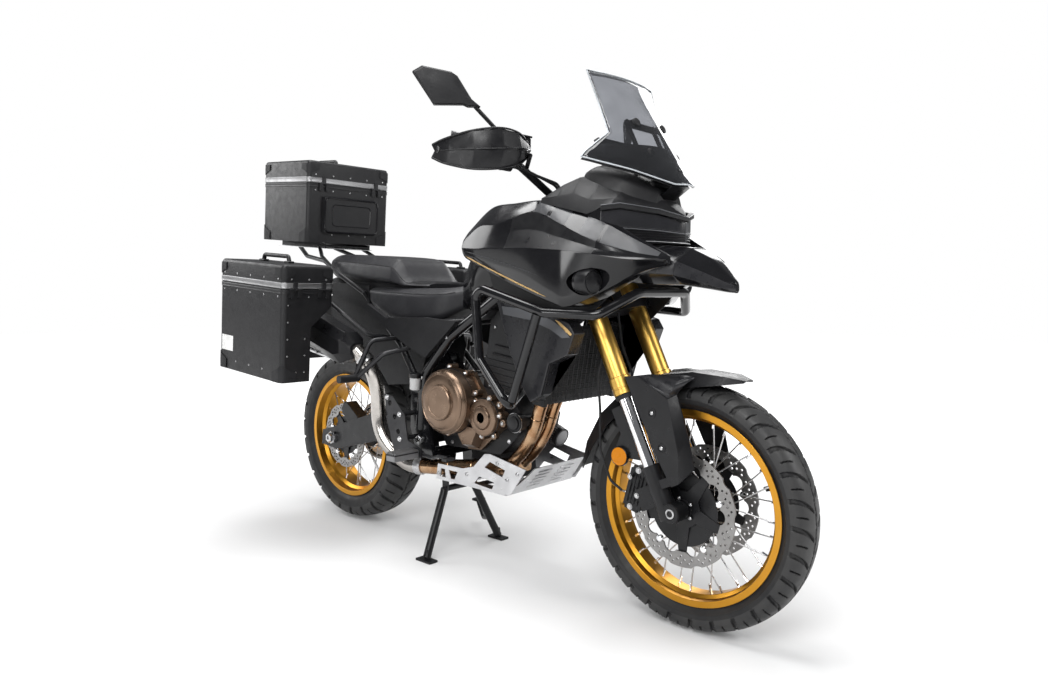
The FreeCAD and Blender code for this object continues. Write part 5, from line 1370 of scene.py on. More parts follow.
    def round_lid(self, radius: float = 0.0115) -> None:
        """Round the lid's upper rim, outside and inside, like its rolled sheet."""
        mesh = bpy.data.objects[f"{self.name}_lid_finished"].data
        with editing(mesh) as work:
            points = (np.array([v.co for v in work.verts]) - DATUM.shift
                      - (self.corner[0], 0.0, self.corner[1]))
            x = points[:, 0] * math.cos(self.tilt) - points[:, 2] * math.sin(self.tilt)
            z = points[:, 0] * math.sin(self.tilt) + points[:, 2] * math.cos(self.tilt)
            y = points[:, 1] * self.side
            far_x, far_y = np.minimum(-x, x + self.length), np.minimum(self.high - y, y - self.low)
            rim = (np.abs(z - self.height + 0.001) < 0.0018) & (
                (np.minimum(far_x, far_y) < 0.0035) | (np.maximum(far_x, far_y) < 0.0165)) & (far_x > -0.001)
            work.verts.index_update()
            edges = [e for e in work.edges if rim[e.verts[0].index] and rim[e.verts[1].index]
                     and len(e.link_faces) == 2 and e.calc_face_angle() > 1.0]
            bmesh.ops.bevel(work, geom=edges, offset=radius, offset_type="OFFSET", segments=5, profile=0.5,
                            affect="EDGES", clamp_overlap=False)
            log.info("%s lid: %d rim edges rounded", self.name, len(edges))
        shade(mesh, SHEET_SHARP)

    def rivets(self, name: str, places: Array, normal: Vector3, body: str) -> None:
        """Domed rivets on one face.

        Args:
            name: what follows the box's name.
            places: their feet in box measures.
            normal: the face's outward direction.
            body: the box's body or its lid.
        """
        dome = spun([(0.0, 0.0031), (0.0007, 0.0029), (0.0014, 0.0017)], ORIGIN, UP, 8)
        self.put(name, scattered(dome, places, normal), STEEL, body)

    def rivet_rows(self) -> None:
        """Rivets along the band, the upright edges and the foot."""
        low, high, split, foot = self.low, self.high, self.height - self.lid_height, 0.032
        across = np.linspace(low + 0.03, high - 0.03, 3 if self.step else 5)
        ahead = np.linspace(-self.length + 0.03, -0.03, 5)
        for number, (z, body) in enumerate(((split + 0.032, self.lid), (split - 0.024, self.body))):
            for face, places, normal in (
                    ("front", np.stack([0 * across + 0.0002, across, 0 * across + z], 1), (1, 0, 0)),
                    ("side", np.stack([ahead, 0 * ahead + high, 0 * ahead + z], 1), (0, 1, 0)),
                    ("rear", np.stack([0 * across - self.length, across, 0 * across + z], 1), (-1, 0, 0))):
                self.rivets(f"rivets_{face}_{number}", places, normal, body)
        if self.step:
            across = np.linspace(low + self.step + 0.02, high - 0.022, 3)
        uprights = np.linspace(foot, split - 0.05, 5)[1:]
        for face, normal, x in (("front", (1, 0, 0), 0.0001), ("rear", (-1, 0, 0), -self.length - 0.0001)):
            places = [(x, y, foot) for y in across]
            if self.step:
                places += [(x, high - 0.02, z) for z in uprights]
                places += [(x, low + self.step + 0.02, z) for z in uprights[:2]]
            self.rivets(f"rivets_{face}_low", np.array(places), normal, self.body)
        self.rivets("rivets_side_low", np.array([(x, high, foot) for x in ahead]), (0, 1, 0), self.body)

    def latches(self) -> None:
        """Two latches on the rear face: base, lever and hook."""
        split = self.height - self.lid_height
        middle, off = (self.low + self.high) / 2, (self.high - self.low) * 0.26
        for number, y in enumerate((middle - off, middle + off)):
            for word, out, low, high, half, finish, body in (
                    ("base", 0.004, -0.05, -0.003, 0.019, SATIN_BLACK, self.body),
                    ("lever", 0.0075, -0.044, -0.001, 0.013, BOX_SILVER, self.body),
                    ("hook", 0.005, 0.001, 0.02, 0.014, SATIN_BLACK, self.lid)):
                plate = block((-self.length - out, y - half, split + low),
                              (-self.length + 0.0004, y + half, split + high))
                self.put(f"latch_{word}_{number}", plate, finish, body, 0.0012)

    def top_box_parts(self) -> None:
        """The plate under the top box and the rims round the pad on its front face."""
        deck = block((-self.length - 0.006, -0.107, -0.0208), (0.004, 0.107, -0.0183))
        self.put("rack_plate", deck, BRUSHED_ALLOY, "chassis", 0.0008)
        rim = self.soft_loop(0.0165, (-0.118, 0.118), (0.042, 0.168), 0.018)
        self.put("pad_rim", tube(rim, 0.0034, 8, closed=False), GLOSS_BLACK, self.body)
        inner = self.soft_loop(0.0164, (-0.086, 0.086), (0.066, 0.144), 0.014)
        self.put("pad_inner_rim", tube(inner, 0.0016, 6, closed=False), GLOSS_BLACK, self.body)

    def build(self) -> None:
        """Everything on one box."""
        split, high = self.height - self.lid_height, self.high
        self.band("silver_band", split + 0.003, split + 0.021, 0.002, BOX_SILVER, self.lid)
        self.band("black_band", split - 0.014, split - 0.002, 0.0016, BOX_BLACK, self.body)
        ends = [(x_end, y_end) for x_end in (1, -1) for y_end in (1, -1)]
        lower = [self.cap(*end, 0.0005, 0.058) for end in ends if end[1] > 0 or not self.step]
        upper = [self.cap(*end, self.height - 0.0115, self.height - 0.05, 0.044) for end in ends]
        self.put("lower_caps", Surface.join(lower), GRIP_RUBBER, self.body)
        self.put("lid_caps", Surface.join(upper), GRIP_RUBBER, self.lid)
        self.rivet_rows()
        self.latches()
        self.round_lid()
        middle = (self.low + high) / 2
        for number, x in enumerate((-0.123, -0.282) if self.step else (-0.098, -0.218)):
            pad = block((x - 0.016, middle - 0.011, self.height - 0.0005),
                        (x + 0.016, middle + 0.011, self.height + 0.007))
            self.put(f"handle_foot_{number}", pad, SATIN_BLACK, self.lid, 0.003)
        if not self.step:
            self.top_box_parts()
        if self.has_label:
            label = block((-self.length + 0.018, high + 0.0001, 0.064),
                          (-self.length + 0.094, high + 0.0007, 0.116))
            self.put("blank_label", label, WHITE_PLATE, self.body, 0.0003)


SIDE_MEASURES = dict(corner=(-0.489, 0.58), length=0.405, height=0.377, low=0.294, high=0.48,
                     lid_height=0.078, step=0.083)
BOXES = [
    LuggageBox("right_box", "chassis", "right_lid", side=-1, has_label=True, **SIDE_MEASURES),
    LuggageBox("left_box", "chassis", "left_lid", side=1, **SIDE_MEASURES),
    LuggageBox("top_box", "chassis", "top_lid", corner=(-0.803, 1.051), length=0.312, height=0.299,
               low=-0.181, high=0.181, lid_height=0.082)]


# ---- steering --------------------------------------------------------------------------------
# the hand guards' stations in millimetres: outwards, forwards, and the heights of the foot, ridge and top
GUARD_ROWS = [(238, 352, 1232, 1250, 1270), (290, 368, 1206, 1246, 1286), (345, 354, 1192, 1240, 1292),
              (395, 306, 1190, 1238, 1284), (425, 240, 1206, 1238, 1268), (432, 196, 1224, 1240, 1256)]


@dataclass
class Steering:
    """Fork tubes, guards' fixings, calipers' trim, grips, levers and mirrors, drawn along the leaned axis."""

    foot: Vector3 = (0.826, 0.0, 0.0)
    lean: float = math.radians(25.5)
    leg: float = 0.1
    ahead: float = 0.03

    def at(self, along: float, ahead: float, y: float) -> Array:
        """A point up the steering axis, ahead of it and to the side."""
        return np.array(self.foot) + self.up * along + self.forward * ahead + (0.0, y, 0.0)

    @property
    def up(self) -> Array:
        """Direction of the steering axis."""
        return np.array([-math.sin(self.lean), 0.0, math.cos(self.lean)])

    @property
    def forward(self) -> Array:
        """Square to the axis, ahead."""
        return np.array([math.cos(self.lean), 0.0, math.sin(self.lean)])

    def legs(self) -> None:
        """Gold tubes with their stepped collars, dust seals and top caps; chrome tubes below."""
        gold = [(0.0, 0.0255), (0.0012, 0.029), (0.015, 0.029), (0.016, 0.028), (0.0185, 0.028),
                (0.0195, 0.029), (0.046, 0.029), (0.048, 0.0268), (0.056, 0.0265), (0.54, 0.0265),
                (0.542, 0.0258), (0.5443, 0.025)]
        cap = [(0.0, 0.0245), (0.004, 0.0245), (0.0055, 0.0225), (0.0055, 0.013), (0.0035, 0.012)]
        seal = [(-0.011, 0.0215), (-0.01, 0.0268), (-0.0006, 0.028), (-0.0004, 0.022)]
        tubes, caps, seals, chrome = [], [], [], []
        for s in SIDES:
            base = self.at(0.66374, self.ahead, s * self.leg)
            tubes.append(spun(gold, base, self.up, 64))
            caps.append(spun(cap, self.at(1.208, self.ahead, s * self.leg), self.up, 40))
            seals.append(spun(seal, base, self.up, 48))
            chrome.append(spun([(0.0, 0.0205), (0.194, 0.0205)], self.at(0.46985, self.ahead, s * self.leg),
                               self.up, 64))
        make_piece("fork_tube_gold", tubes, GOLD, "steering", sharp=20, stands_for=("fork_outer_tubes",))
        make_piece("fork_caps", caps, SATIN_BLACK, "steering", sharp=20)
        make_piece("fork_dust_seals", seals, GRIP_RUBBER, "steering", sharp=20)
        make_piece("fork_tube_chrome", chrome, CHROME, "steering", sharp=20,
                   stands_for=("fork_stanchions",))

    def fixings(self) -> None:
        """Axle end caps, guard bolts, reflectors, pinch bolts and the calipers' mounting bolts."""
        axle = DATUM.own(DATUM.front)
        caps, bolts, silver, rims = [], [], [], []
        for s in SIDES:
            side = np.array([0.0, s, 0.0])
            place = axle + side * 0.122
            caps.append(spun([(0.0, 0.0125), (0.002, 0.0123), (0.0026, 0.0085), (0.0004, 0.008),
                              (0.0004, 0.004)], place, side, 32))
            rims.append(spun([(-0.0005, 0.0235), (0.0016, 0.0232), (0.0024, 0.017), (0.0006, 0.014)],
                             place, side, 36))
            for along, ahead in ((0.5, 0.092), (0.59, 0.102)):
                spot = self.at(along, ahead, s * 0.122)
                bolts.append(spun([(-0.0005, 0.0125), (0.0014, 0.0122), (0.0024, 0.0085), (0.0006, 0.008)],
                                  spot, side, 32))
                silver.append(button_bolt(0.005, 0.003).standing(side, spot))
            for along in (0.4, 0.425):
                spot = self.at(along, self.ahead - 0.025, s * self.leg)
                silver.append(button_bolt(0.0045, 0.004).standing(-self.forward, spot))
            for along in (-0.026, 0.026):
                spot = self.at(0.436 + along, -0.048, s * 0.0968)
                silver.append(hex_bolt(0.0052, 0.005).standing(side, spot))
        make_piece("front_axle_caps", caps, STEEL, "steering")
        make_piece("fork_bottom_rims", rims, SATIN_BLACK, "steering")
        make_piece("fork_guard_bolts", bolts, GRIP_RUBBER, "steering")
        make_piece("fork_bottom_bolts", silver, STEEL, "steering")
        rings, lenses = [], []
        for s in SIDES:
            side = np.array([0.0, s, 0.0])
            place = np.array([0.538, s * 0.0832, 0.441])
            rings.append(spun([(-0.0085, 0.0265), (0.0004, 0.0265), (0.0012, 0.0255), (0.0004, 0.0245)],
                              place, side, 40))
            lenses.append(spun([(-0.001, 0.0247), (0.001, 0.0243), (0.0018, 0.019), (0.0021, 0.006)],
                               place, side, 36))
        make_piece("reflector_rings", rings, SATIN_BLACK, "steering")
        make_piece("reflector_lenses", lenses, AMBER, "steering")

    def webs(self) -> None:
        """Folded side faces from the fork guards' tops to the mudguard: straight runs between two edges."""
        axle = DATUM.own(DATUM.front)
        for s in SIDES:
            lower = np.stack([self.at(0.704, 0.06, s * 0.1205), self.at(0.69, 0.1, s * 0.1205),
                              self.at(0.607, 0.159, s * 0.1205), self.at(0.612, 0.171, s * 0.09)])
            a = np.radians([113.0, 101.0, 90.0, 84.5])
            r = np.array([0.347, 0.346, 0.345, 0.343])
            upper = axle + circle(a, r, s * 0.07)
            t = np.linspace(0, 1, 7)[:, None, None]
            bow = np.array([0.0, s * 0.006, 0.004]) * np.sin(t * math.pi)
            web = make_piece(f"mudguard_web_{side_name(s)}",
                             grid(lower[None] * (1 - t) + upper[None] * t + bow), CHARCOAL, "steering",
                             wall=0.003, sharp=30)
            settle(web)
            recalculate(web)

    def calipers(self) -> None:
        """Ribbed outer faces and the mounting bolts of the front calipers."""
        axle = DATUM.own(DATUM.front)
        angle = math.radians(90 + 50) + self.lean
        out = np.array([math.cos(angle), 0.0, math.sin(angle)])
        along = np.array([-math.sin(angle), 0.0, math.cos(angle)])
        ribs, bolts = [], []
        for s in SIDES:
            face = axle + (0.0, s * 0.0852, 0.0)
            for step in range(4):
                middle = face + out * (0.118 + 0.0105 * step)
                path = np.stack([middle - along * 0.04, middle - along * 0.034 + (0, s * 0.002, 0),
                                 middle + along * 0.034 + (0, s * 0.002, 0), middle + along * 0.04])
                ribs.append(tube(path, 0.0026, 8))
            for a in (-0.052, 0.052):
                bolts.append(hex_bolt(0.0062, 0.006).standing((0.0, s, 0.0), face + out * 0.137 + along * a))
            for a in (-0.022, 0.022):
                place = axle + (0.0, s * 0.085, 0.0) + out * 0.1335 + along * a
                ribs.append(spun([(0.0, 0.015), (0.0022, 0.0148), (0.003, 0.013), (0.0018, 0.011)],
                                 place, (0, s, 0), 28))
        make_piece("front_caliper_ribs", ribs, SATIN_BLACK, "steering")
        make_piece("front_caliper_bolts", bolts, STEEL, "steering")

    def grips(self) -> None:
        """Ribbed grips, bar ends, the controls' seams and the levers."""
        start, end = metres([279, 205, 1221]), metres([205, 400, 1240])
        run = end - start
        grips, ends, seams, levers = [], [], [], []
        for s in SIDES:
            mirror = np.array([1.0, s, 1.0])
            t = np.linspace(0.41, 0.985, 60)
            swell = 0.0172 + 0.0006 * np.cos(np.arange(60) * math.pi)
            swell[:2], swell[-2:] = 0.0205, 0.0195
            grips.append(tube((start + run * t[:, None]) * mirror, swell, 24))
            ends.append(spun([(0.0, 0.0125), (0.001, 0.0185), (0.01, 0.019), (0.014, 0.015), (0.0155, 0.006)],
                             end * mirror, run * mirror, 28))
            seams.append(spun([(-0.001, 0.0215), (0.0035, 0.0218), (0.0045, 0.0205)],
                              (start + run * 0.25) * mirror, run * mirror, 28))
            t = np.linspace(0, 1, 12)[:, None]
            path = (start + run * (0.16 + 0.8 * t) + np.array([0.012, 0, 0.044])
                    + t * (-0.008, 0, 0.006) + np.sin(t * math.pi) * (0.01, 0, 0))
            width = 0.0062 - 0.0022 * t[:, 0]
            width[-1] = 0.0064
            levers.append(tube(path * mirror, width, 10))
        make_piece("handlebar_grips", grips, GRIP_RUBBER, "steering")
        make_piece("handlebar_ends", ends, CAST_ALLOY, "steering")
        make_piece("control_seams", seams, MATT_PLASTIC, "steering")
        make_piece("hand_levers", levers, CAST_ALLOY, "steering")

    def mirror_rings(self, steps: tuple[tuple[float, float], ...]) -> Array:
        """Outlines of the left mirror, one for each share of its size and depth along its face's direction.

        Args:
            steps: pairs of share and depth.

        Returns:
            Outlines by corners by 3.
        """
        across = np.array([-118.0, 150.0, 0.0]) / math.hypot(118, 150)
        normal = np.cross(across, UP)
        outline = metres([(5, 35), (28, 53), (65, 110), (81, 120), (156, 132), (180, 117), (125, 36),
                          (49, 39), (37, 34)])
        centre = outline.mean(axis=0)
        rings = []
        for share, depth in steps:
            flat = centre + (outline - centre) * share
            rings.append(metres([262, 330, 1322]) + flat[:, :1] * across + flat[:, 1:] * UP + normal * depth)
        return np.stack(rings)

    def mirrors(self) -> None:
        """Shells and glasses of both mirrors."""
        shell = self.mirror_rings(((0.965, -0.007), (1.0, -0.006), (1.0, 0.008), (0.93, 0.012),
                                   (0.5, 0.0165)))
        pane = self.mirror_rings(((0.93, -0.0066), (0.93, -0.0074)))
        shells, panes = ([capped(grid(rings * (1.0, s, 1.0), wrap_columns=True), *rings.shape[:2])
                          for s in SIDES] for rings in (shell, pane))
        make_piece("mirror_shells", [shells[0], shells[1].turned()], MATT_PLASTIC, "steering", bevel=0.0025,
                   sharp=25, outwards=True)
        make_piece("mirror_glasses", panes, MIRROR_GLASS, "steering", outwards=True)

    def guard_trim(self) -> None:
        """Pressed ridge and folded edges of the hand guards, with the brake fluid box and the inner bolts."""
        # inset and lift in millimetres, and radius, of the lower fold, the ridge and the upper fold
        folds = ((-14, -1.0, 0.0026), (-1.0, 0.0, 0.0016), (-13, 1.0, 0.0026))
        ridges, bolts = [], []
        for s in SIDES:
            mirror = np.array([1.0, s, 1.0])
            for column, (inset, lift, radius) in enumerate(folds):
                path = metres([[x + inset, y, (low, middle, high)[column] + lift]
                               for y, x, low, middle, high in GUARD_ROWS])
                ridges.append(tube(through_rows(path[:, None, :], 6)[:, 0] * mirror, radius, 8))
            spot = metres([358, 256, 1247]) * mirror
            bolts.append(hex_bolt(0.0068, 0.006).standing((1.0, -s * 0.25, 0.1), spot))
        make_piece("hand_guard_ridges", ridges, SATIN_BLACK, "steering", sharp=50)
        make_piece("hand_guard_bolts", bolts, STEEL, "steering")
        box = block(metres([284, -248, 1250]), metres([330, -212, 1287]))
        make_piece("brake_fluid_box", box, SATIN_BLACK, "steering", bevel=0.004)
        lid = block(metres([282, -250, 1287]), metres([332, -210, 1292]))
        make_piece("brake_fluid_lid", lid, MATT_PLASTIC, "steering", bevel=0.0015)

    def build(self) -> None:
        """Everything that the steering carries."""
        self.legs()
        self.fixings()
        self.webs()
        self.calipers()
        self.grips()
        self.mirrors()
        self.guard_trim()


# ---- engine and exhaust ----------------------------------------------------------------------
@dataclass
class Engine:
    """Domed covers with bolts and seams, water pump, filter, header pipes' joints and silencer trim."""

    right: Vector3 = (0.0, -1.0, 0.0)
    left: Vector3 = (0.0, 1.0, 0.0)
    headers: tuple = (
        ((198, -48, 747), (262, -55, 722), (296, -90, 620), (273, -104, 540), (250, -101, 470),
         (205, -92, 412), (150, -86, 362)),
        ((198, 48, 747), (264, 38, 722), (292, -12, 620), (266, -34, 540), (245, -36, 470), (205, -46, 402),
         (150, -46, 356)))
    link: tuple = ((152, -66, 350), (50, -74, 332), (-120, -116, 312), (-210, -136, 306))

    def covers(self) -> None:
        """Turned domes over the stepped covers, with lugs and bolts round them."""
        clutch = spun([(-0.062, 0.101), (-0.006, 0.1008), (0.003, 0.0985), (0.0085, 0.093), (0.012, 0.0895),
                       (0.0128, 0.088), (0.011, 0.0865), (0.0124, 0.0845), (0.015, 0.078), (0.0158, 0.066),
                       (0.0162, 0.056), (0.018, 0.0552), (0.0236, 0.0545), (0.0262, 0.052), (0.0262, 0.044),
                       (0.025, 0.043), (0.025, 0.01)],
                      metres([-57, -178, 536]), self.right, 96)
        small = spun([(-0.04, 0.0555), (-0.003, 0.0553), (0.002, 0.053), (0.0035, 0.044), (0.0038, 0.037),
                      (0.0022, 0.035), (0.004, 0.0338), (0.0082, 0.033), (0.01, 0.03), (0.01, 0.016),
                      (0.008, 0.015), (0.008, 0.006)], metres([96, -160, 503]), self.right, 72)
        rotor = spun([(-0.048, 0.079), (-0.008, 0.0788), (0.0, 0.076), (0.004, 0.068), (0.005, 0.056),
                      (0.0035, 0.054), (0.0125, 0.0525), (0.014, 0.049), (0.014, 0.01)],
                     metres([62, 117, 470]), self.left, 80)
        make_piece("clutch_dome", clutch, BRONZE, sharp=34)
        make_piece("pump_cover", small, BRONZE, sharp=34)
        make_piece("rotor_cover", rotor, BRONZE, sharp=34)
        lugs, bolts = [], []
        for centre, radius, y, count, start, step in (
                ((-57, 536), 106, -140, 8, 18, 40), ((96, 503), 60, -150, 5, 10, 62)):
            a = np.radians(start + step * np.arange(count))
            for place in metres([centre[0], y, centre[1]]) + circle(a, radius / 1000):
                lugs.append(spun([(-0.03, 0.0105), (0.0, 0.0103), (0.0012, 0.0092)], place, self.right, 20))
                bolts.append(hex_bolt(0.005, 0.0055).standing(self.right, place + (0, -0.001, 0)))
        for x, z in ((151, 544), (165, 492), (129, 450)):
            lugs.append(spun([(-0.012, 0.0115), (0.0, 0.0113), (0.0014, 0.01)],
                             metres([x, -146, z]), self.right, 24))
            bolts.append(button_bolt(0.0062, 0.0045).standing(self.right, metres([x, -147.4, z])))
        for place in np.array([0.062, 0.098, 0.47]) + circle(np.radians(20 + 60 * np.arange(6)), 0.085):
            lugs.append(spun([(-0.03, 0.0105), (0.0, 0.0103), (0.0012, 0.0092)], place, self.left, 20))
            bolts.append(hex_bolt(0.005, 0.0055).standing(self.left, place + (0, 0.001, 0)))
        make_piece("cover_lugs", lugs, BRONZE)
        make_piece("cover_bolts", bolts, STEEL)
        gaskets = []
        for x, z, share in ((-57, 536, 1.012), (96, 503, 0.565)):
            inner, outer = 0.1016 * share, 0.103 * share
            gaskets.append(spun([(-0.0006, inner), (-0.0006, outer), (0.0006, outer), (0.0006, inner)],
                                metres([x, -150, z]), self.right, 96))
        make_piece("cover_gaskets", gaskets, GRIP_RUBBER)

    def ancillaries(self) -> None:
        """Water pump cover and rim, ribbed oil filter, case bolts and cylinder ribs."""
        pump = spun([(0.0, 0.028), (0.0025, 0.0278), (0.004, 0.026), (0.003, 0.02), (0.0062, 0.019),
                     (0.0075, 0.01)], metres([216, -150, 500]), self.right, 48)
        make_piece("water_pump_cover", pump, SATIN_BLACK)
        rim = spun([(-0.0012, 0.0279), (-0.0012, 0.0289), (0.0012, 0.0289), (0.0012, 0.0279)],
                   metres([216, -149, 500]), self.right, 48)
        make_piece("water_pump_rim", rim, STEEL)
        start, end = metres([168, 34, 462]), metres([244, 34, 436])
        a = np.linspace(0, 2 * math.pi, 72, endpoint=False)
        ribbed = 0.0292 + 0.0012 * np.where(np.arange(72) % 3 == 0, 1.0, -0.2)
        rows = [np.stack([np.cos(a) * radius * share, np.sin(a) * radius * share, np.full(72, depth)], 1)
                for radius, depth, share in (
                    (ribbed, 0.03, 0.97), (ribbed, 0.032, 1.0), (ribbed, 0.06, 1.0), (ribbed, 0.064, 0.99),
                    (0.0285, 0.069, 0.92), (0.0285, 0.08, 0.86), (0.0285, 0.082, 0.6),
                    (0.0285, 0.0825, 0.25))]
        shell = capped(grid(np.stack(rows), wrap_columns=True), 8, 72)
        make_piece("oil_filter_shell", shell.standing(end - start, start), CAST_ALLOY)
        bolts = []
        for side, y in ((-1, -100.5), (1, 66.5)):
            for x, z in ((-140, 440), (-118, 540), (24, 578), (140, 563), (200, 505), (192, 470), (150, 430),
                         (-100, 395)):
                bolts.append(hex_bolt(0.0048, 0.005).standing((0, side, 0), metres([x, y, z])))
            for x, z in ((60, 590), (150, 575), (82, 770), (180, 760), (110, 822), (186, 800)):
                bolts.append(button_bolt(0.0048, 0.0045).standing((0, side, 0), metres([x, side * 92.3, z])))
        make_piece("case_bolts", bolts, STEEL)
        ribs = []
        for side in SIDES:
            for x0, z0, x1, z1 in ((66, 600, 158, 586), (74, 690, 186, 676), (84, 716, 192, 700)):
                path = metres([(x0, side * 93.5, z0), ((x0 + x1) / 2, side * 95.0, (z0 + z1) / 2),
                               (x1, side * 93.5, z1)])
                ribs.append(tube(path, 0.0035, 8))
        make_piece("cylinder_ribs", ribs, ENGINE_BLACK)

    def pipes(self) -> None:
        """Header pipes, their collector, the link pipe and the bright pipe that rises to the silencer."""
        link = metres(self.link)
        before, joint = link[-2:]
        upper = metres([(-352, -172, 366), (-388, -174, 430), (-386, -178, 545), (-396, -200, 626),
                        (-440, -226, 678)])
        rise = np.concatenate([[joint, joint + (joint - before) * 0.62], upper])
        ends = metres([[(168, -112, 378), (168, -20, 372), (168, -20, 334), (168, -112, 338)],
                       [(120, -98, 368), (120, -52, 366), (120, -48, 322), (120, -98, 326)]])
        collector = with_corners(ends, 0.012, 5)
        parts = [tube(bent(metres(line), 0.034), 0.019, 32) for line in self.headers]
        parts += [tube(bent(link, 0.045), 0.025, 36),
                  capped(grid(collector, wrap_columns=True), 2, collector.shape[1])]
        make_piece("header_pipes", parts, HEADER, sharp=50, stands_for=("exhaust_headers",),
                   outwards=True)
        make_piece("rising_pipe", tube(bent(rise, 0.04), 0.025, 48), POLISHED, sharp=50,
                   stands_for=("exhaust_midpipe",), outwards=True)

    @staticmethod
    def bead(line: Array, place: float, profile: list[tuple[float, float]], sides: int) -> Surface:
        """A ring turned round a pipe.

        Args:
            line: corners of the pipe's middle line.
            place: number of a corner, plus the share of the way to the next.
            profile: the ring's corners as (distance along the pipe, radius).
            sides: facets round.

        Returns:
            The ring.
        """
        i, share = int(place), place - int(place)
        return spun(profile, line[i] * (1 - share) + line[i + 1] * share, line[i + 1] - line[i], sides)

    def exhaust(self) -> None:
        """Weld rings, clamps, the silencer's end cap, trim strip and bolts."""
        ring = [(-0.0028, 0.0184), (-0.0018, 0.0202), (0.0, 0.0209), (0.0018, 0.0202), (0.0028, 0.0184)]
        beads = [self.bead(metres(line), place, ring, 32) for line in self.headers
                 for place in (1.5, 2.5, 3.4)]
        ring = [(-0.0035, 0.0245), (-0.0022, 0.0262), (0.0, 0.027), (0.0022, 0.0262), (0.0035, 0.0245)]
        beads += [self.bead(metres(self.link), place, ring, 36) for place in (0.55, 1.35, 1.85)]
        make_piece("weld_beads", beads, HEADER)
        low = spun([(-0.013, 0.0252), (-0.013, 0.0285), (-0.009, 0.0292), (0.009, 0.0292), (0.013, 0.0285),
                    (0.013, 0.0252)], metres([-214, -137, 305.6]), (-90, -20, -6), 40)
        high = spun([(-0.012, 0.0252), (-0.012, 0.0288), (0.012, 0.0288), (0.012, 0.0252)],
                    metres([-412, -210, 645]), (-44, -26, 52), 40)
        make_piece("pipe_clamps", [low, high], STEEL, sharp=25)
        strip = metres([(-470, -258, 636), (-560, -262, 651), (-660, -264, 668), (-716, -264, 684)])
        fine = through_rows(strip[:, None], 6)[:, 0]
        up = np.array([0.0, -0.35, 1.0]) / 1.06
        face = np.stack([fine - up * 0.007, fine + (0, -0.002, 0), fine + up * 0.007], axis=1)
        make_piece("silencer_trim", grid(face), BRUSHED_ALLOY, wall=0.0016)
        bolts = [button_bolt(0.0042, 0.0032).standing((0, -1, 0.2), fine[n] + (0, -0.0022, 0))
                 for n in (2, 9, 16)]
        make_piece("silencer_bolts", bolts, STEEL)
        tip = spun([(-0.006, 0.0245), (0.004, 0.0262), (0.0055, 0.024), (-0.02, 0.0225), (-0.022, 0.006)],
                   metres([-775, -232.4, 773.6]), metres([-1000, -20, 220]), 40)
        make_piece("silencer_outlet", tip, STEEL)

    def build(self) -> None:
        """All of the engine's looks."""
        self.covers()
        self.ancillaries()
        self.pipes()
        self.exhaust()


@dataclass
class Headlamp:
    """The lamp face under the brow: dark lens, lamp bars, silver-edged grille and brow strip."""

    outline: tuple = ((540, 182), (576, 150), (644, 78), (676, 0))

    def edge(self, shift: float, z: tuple[float, ...]) -> Array:
        """The unit's front outline moved outwards.

        Args:
            shift: how far.
            z: heights from the right end to the middle; the left half mirrors them.

        Returns:
            Seven points from right to left.
        """
        half = metres([(x, -y, 0) for x, y in self.outline])
        whole = np.concatenate([half, half[-2::-1] * (1, -1, 1)])
        heights = np.concatenate([z, z[-2::-1]])
        out = np.array([(0.55, -0.83), (0.62, -0.78), (0.8, -0.6), (1.0, 0.0)])
        out = np.concatenate([out, out[-2::-1] * (1, -1)])
        return whole + np.concatenate([out * shift, heights[:, None]], axis=1)

    def run(self, name: str, shift: float, low: tuple[float, ...], high: tuple[float, ...], thick: float,
            finish: Finish) -> None:
        """A plate along the front outline.

        Args:
            name: the piece's name.
            shift: how far outside the outline its back lies.
            low: heights of its lower edge, from the side to the middle.
            high: heights of its upper edge.
            thick: its thickness.
            finish: its material.
        """
        ring = np.stack([self.edge(shift, low), self.edge(shift, high), self.edge(shift + thick, high),
                         self.edge(shift + thick, low)], axis=1)
        make_piece(name, capped(grid(ring, wrap_columns=True), *ring.shape[:2]), finish, bevel=0.0012,
                   sharp=25, outwards=True)

    def build(self) -> None:
        """From the brow down to the grille, then its bars and the lamp bowls."""
        self.run("brow", -0.004, (1.086, 1.092, 1.078, 1.062), (1.1, 1.106, 1.092, 1.074), 0.014,
                 MATT_PLASTIC)
        self.run("brow_line", 0.006, (1.097, 1.103, 1.089, 1.071), (1.0995, 1.1055, 1.0915, 1.0735), 0.006,
                 GREY_PANEL)
        self.run("lamp_lens", -0.003, (1.044, 1.046, 1.04, 1.034), (1.084, 1.09, 1.076, 1.06), 0.0045,
                 LENS_DARK)
        self.run("grille_top", -0.002, (1.0395, 1.0415, 1.0355, 1.0295), (1.0425, 1.0445, 1.0385, 1.0325),
                 0.005, GREY_PANEL)
        self.run("grille_foot", -0.002, (1.01, 1.01, 1.008, 1.006), (1.0125, 1.0125, 1.0105, 1.0085), 0.005,
                 BRUSHED_ALLOY)
        bars = []
        for number in range(4):
            z = 1.0165 + number * 0.0062
            path = self.edge(0.0006, (z + 0.003, z + 0.0036, z + 0.0014, z - 0.001))
            bars.append(tube(path, 0.0011, 6))
        make_piece("grille_bars", bars, SATIN_BLACK)
        lamps = []
        for s in SIDES:
            for x, y in ((0.562, 0.16), (0.594, 0.128), (0.622, 0.098)):
                axis = np.array([0.72, s * 0.7, 0.0])
                lamps.append(spun([(-0.01, 0.0125), (0.0004, 0.0128), (0.0012, 0.0115), (-0.004, 0.008),
                                   (-0.005, 0.003)], np.array([x, s * y, 1.062]), axis, 28))
        make_piece("lamp_bowls", lamps, CHROME)


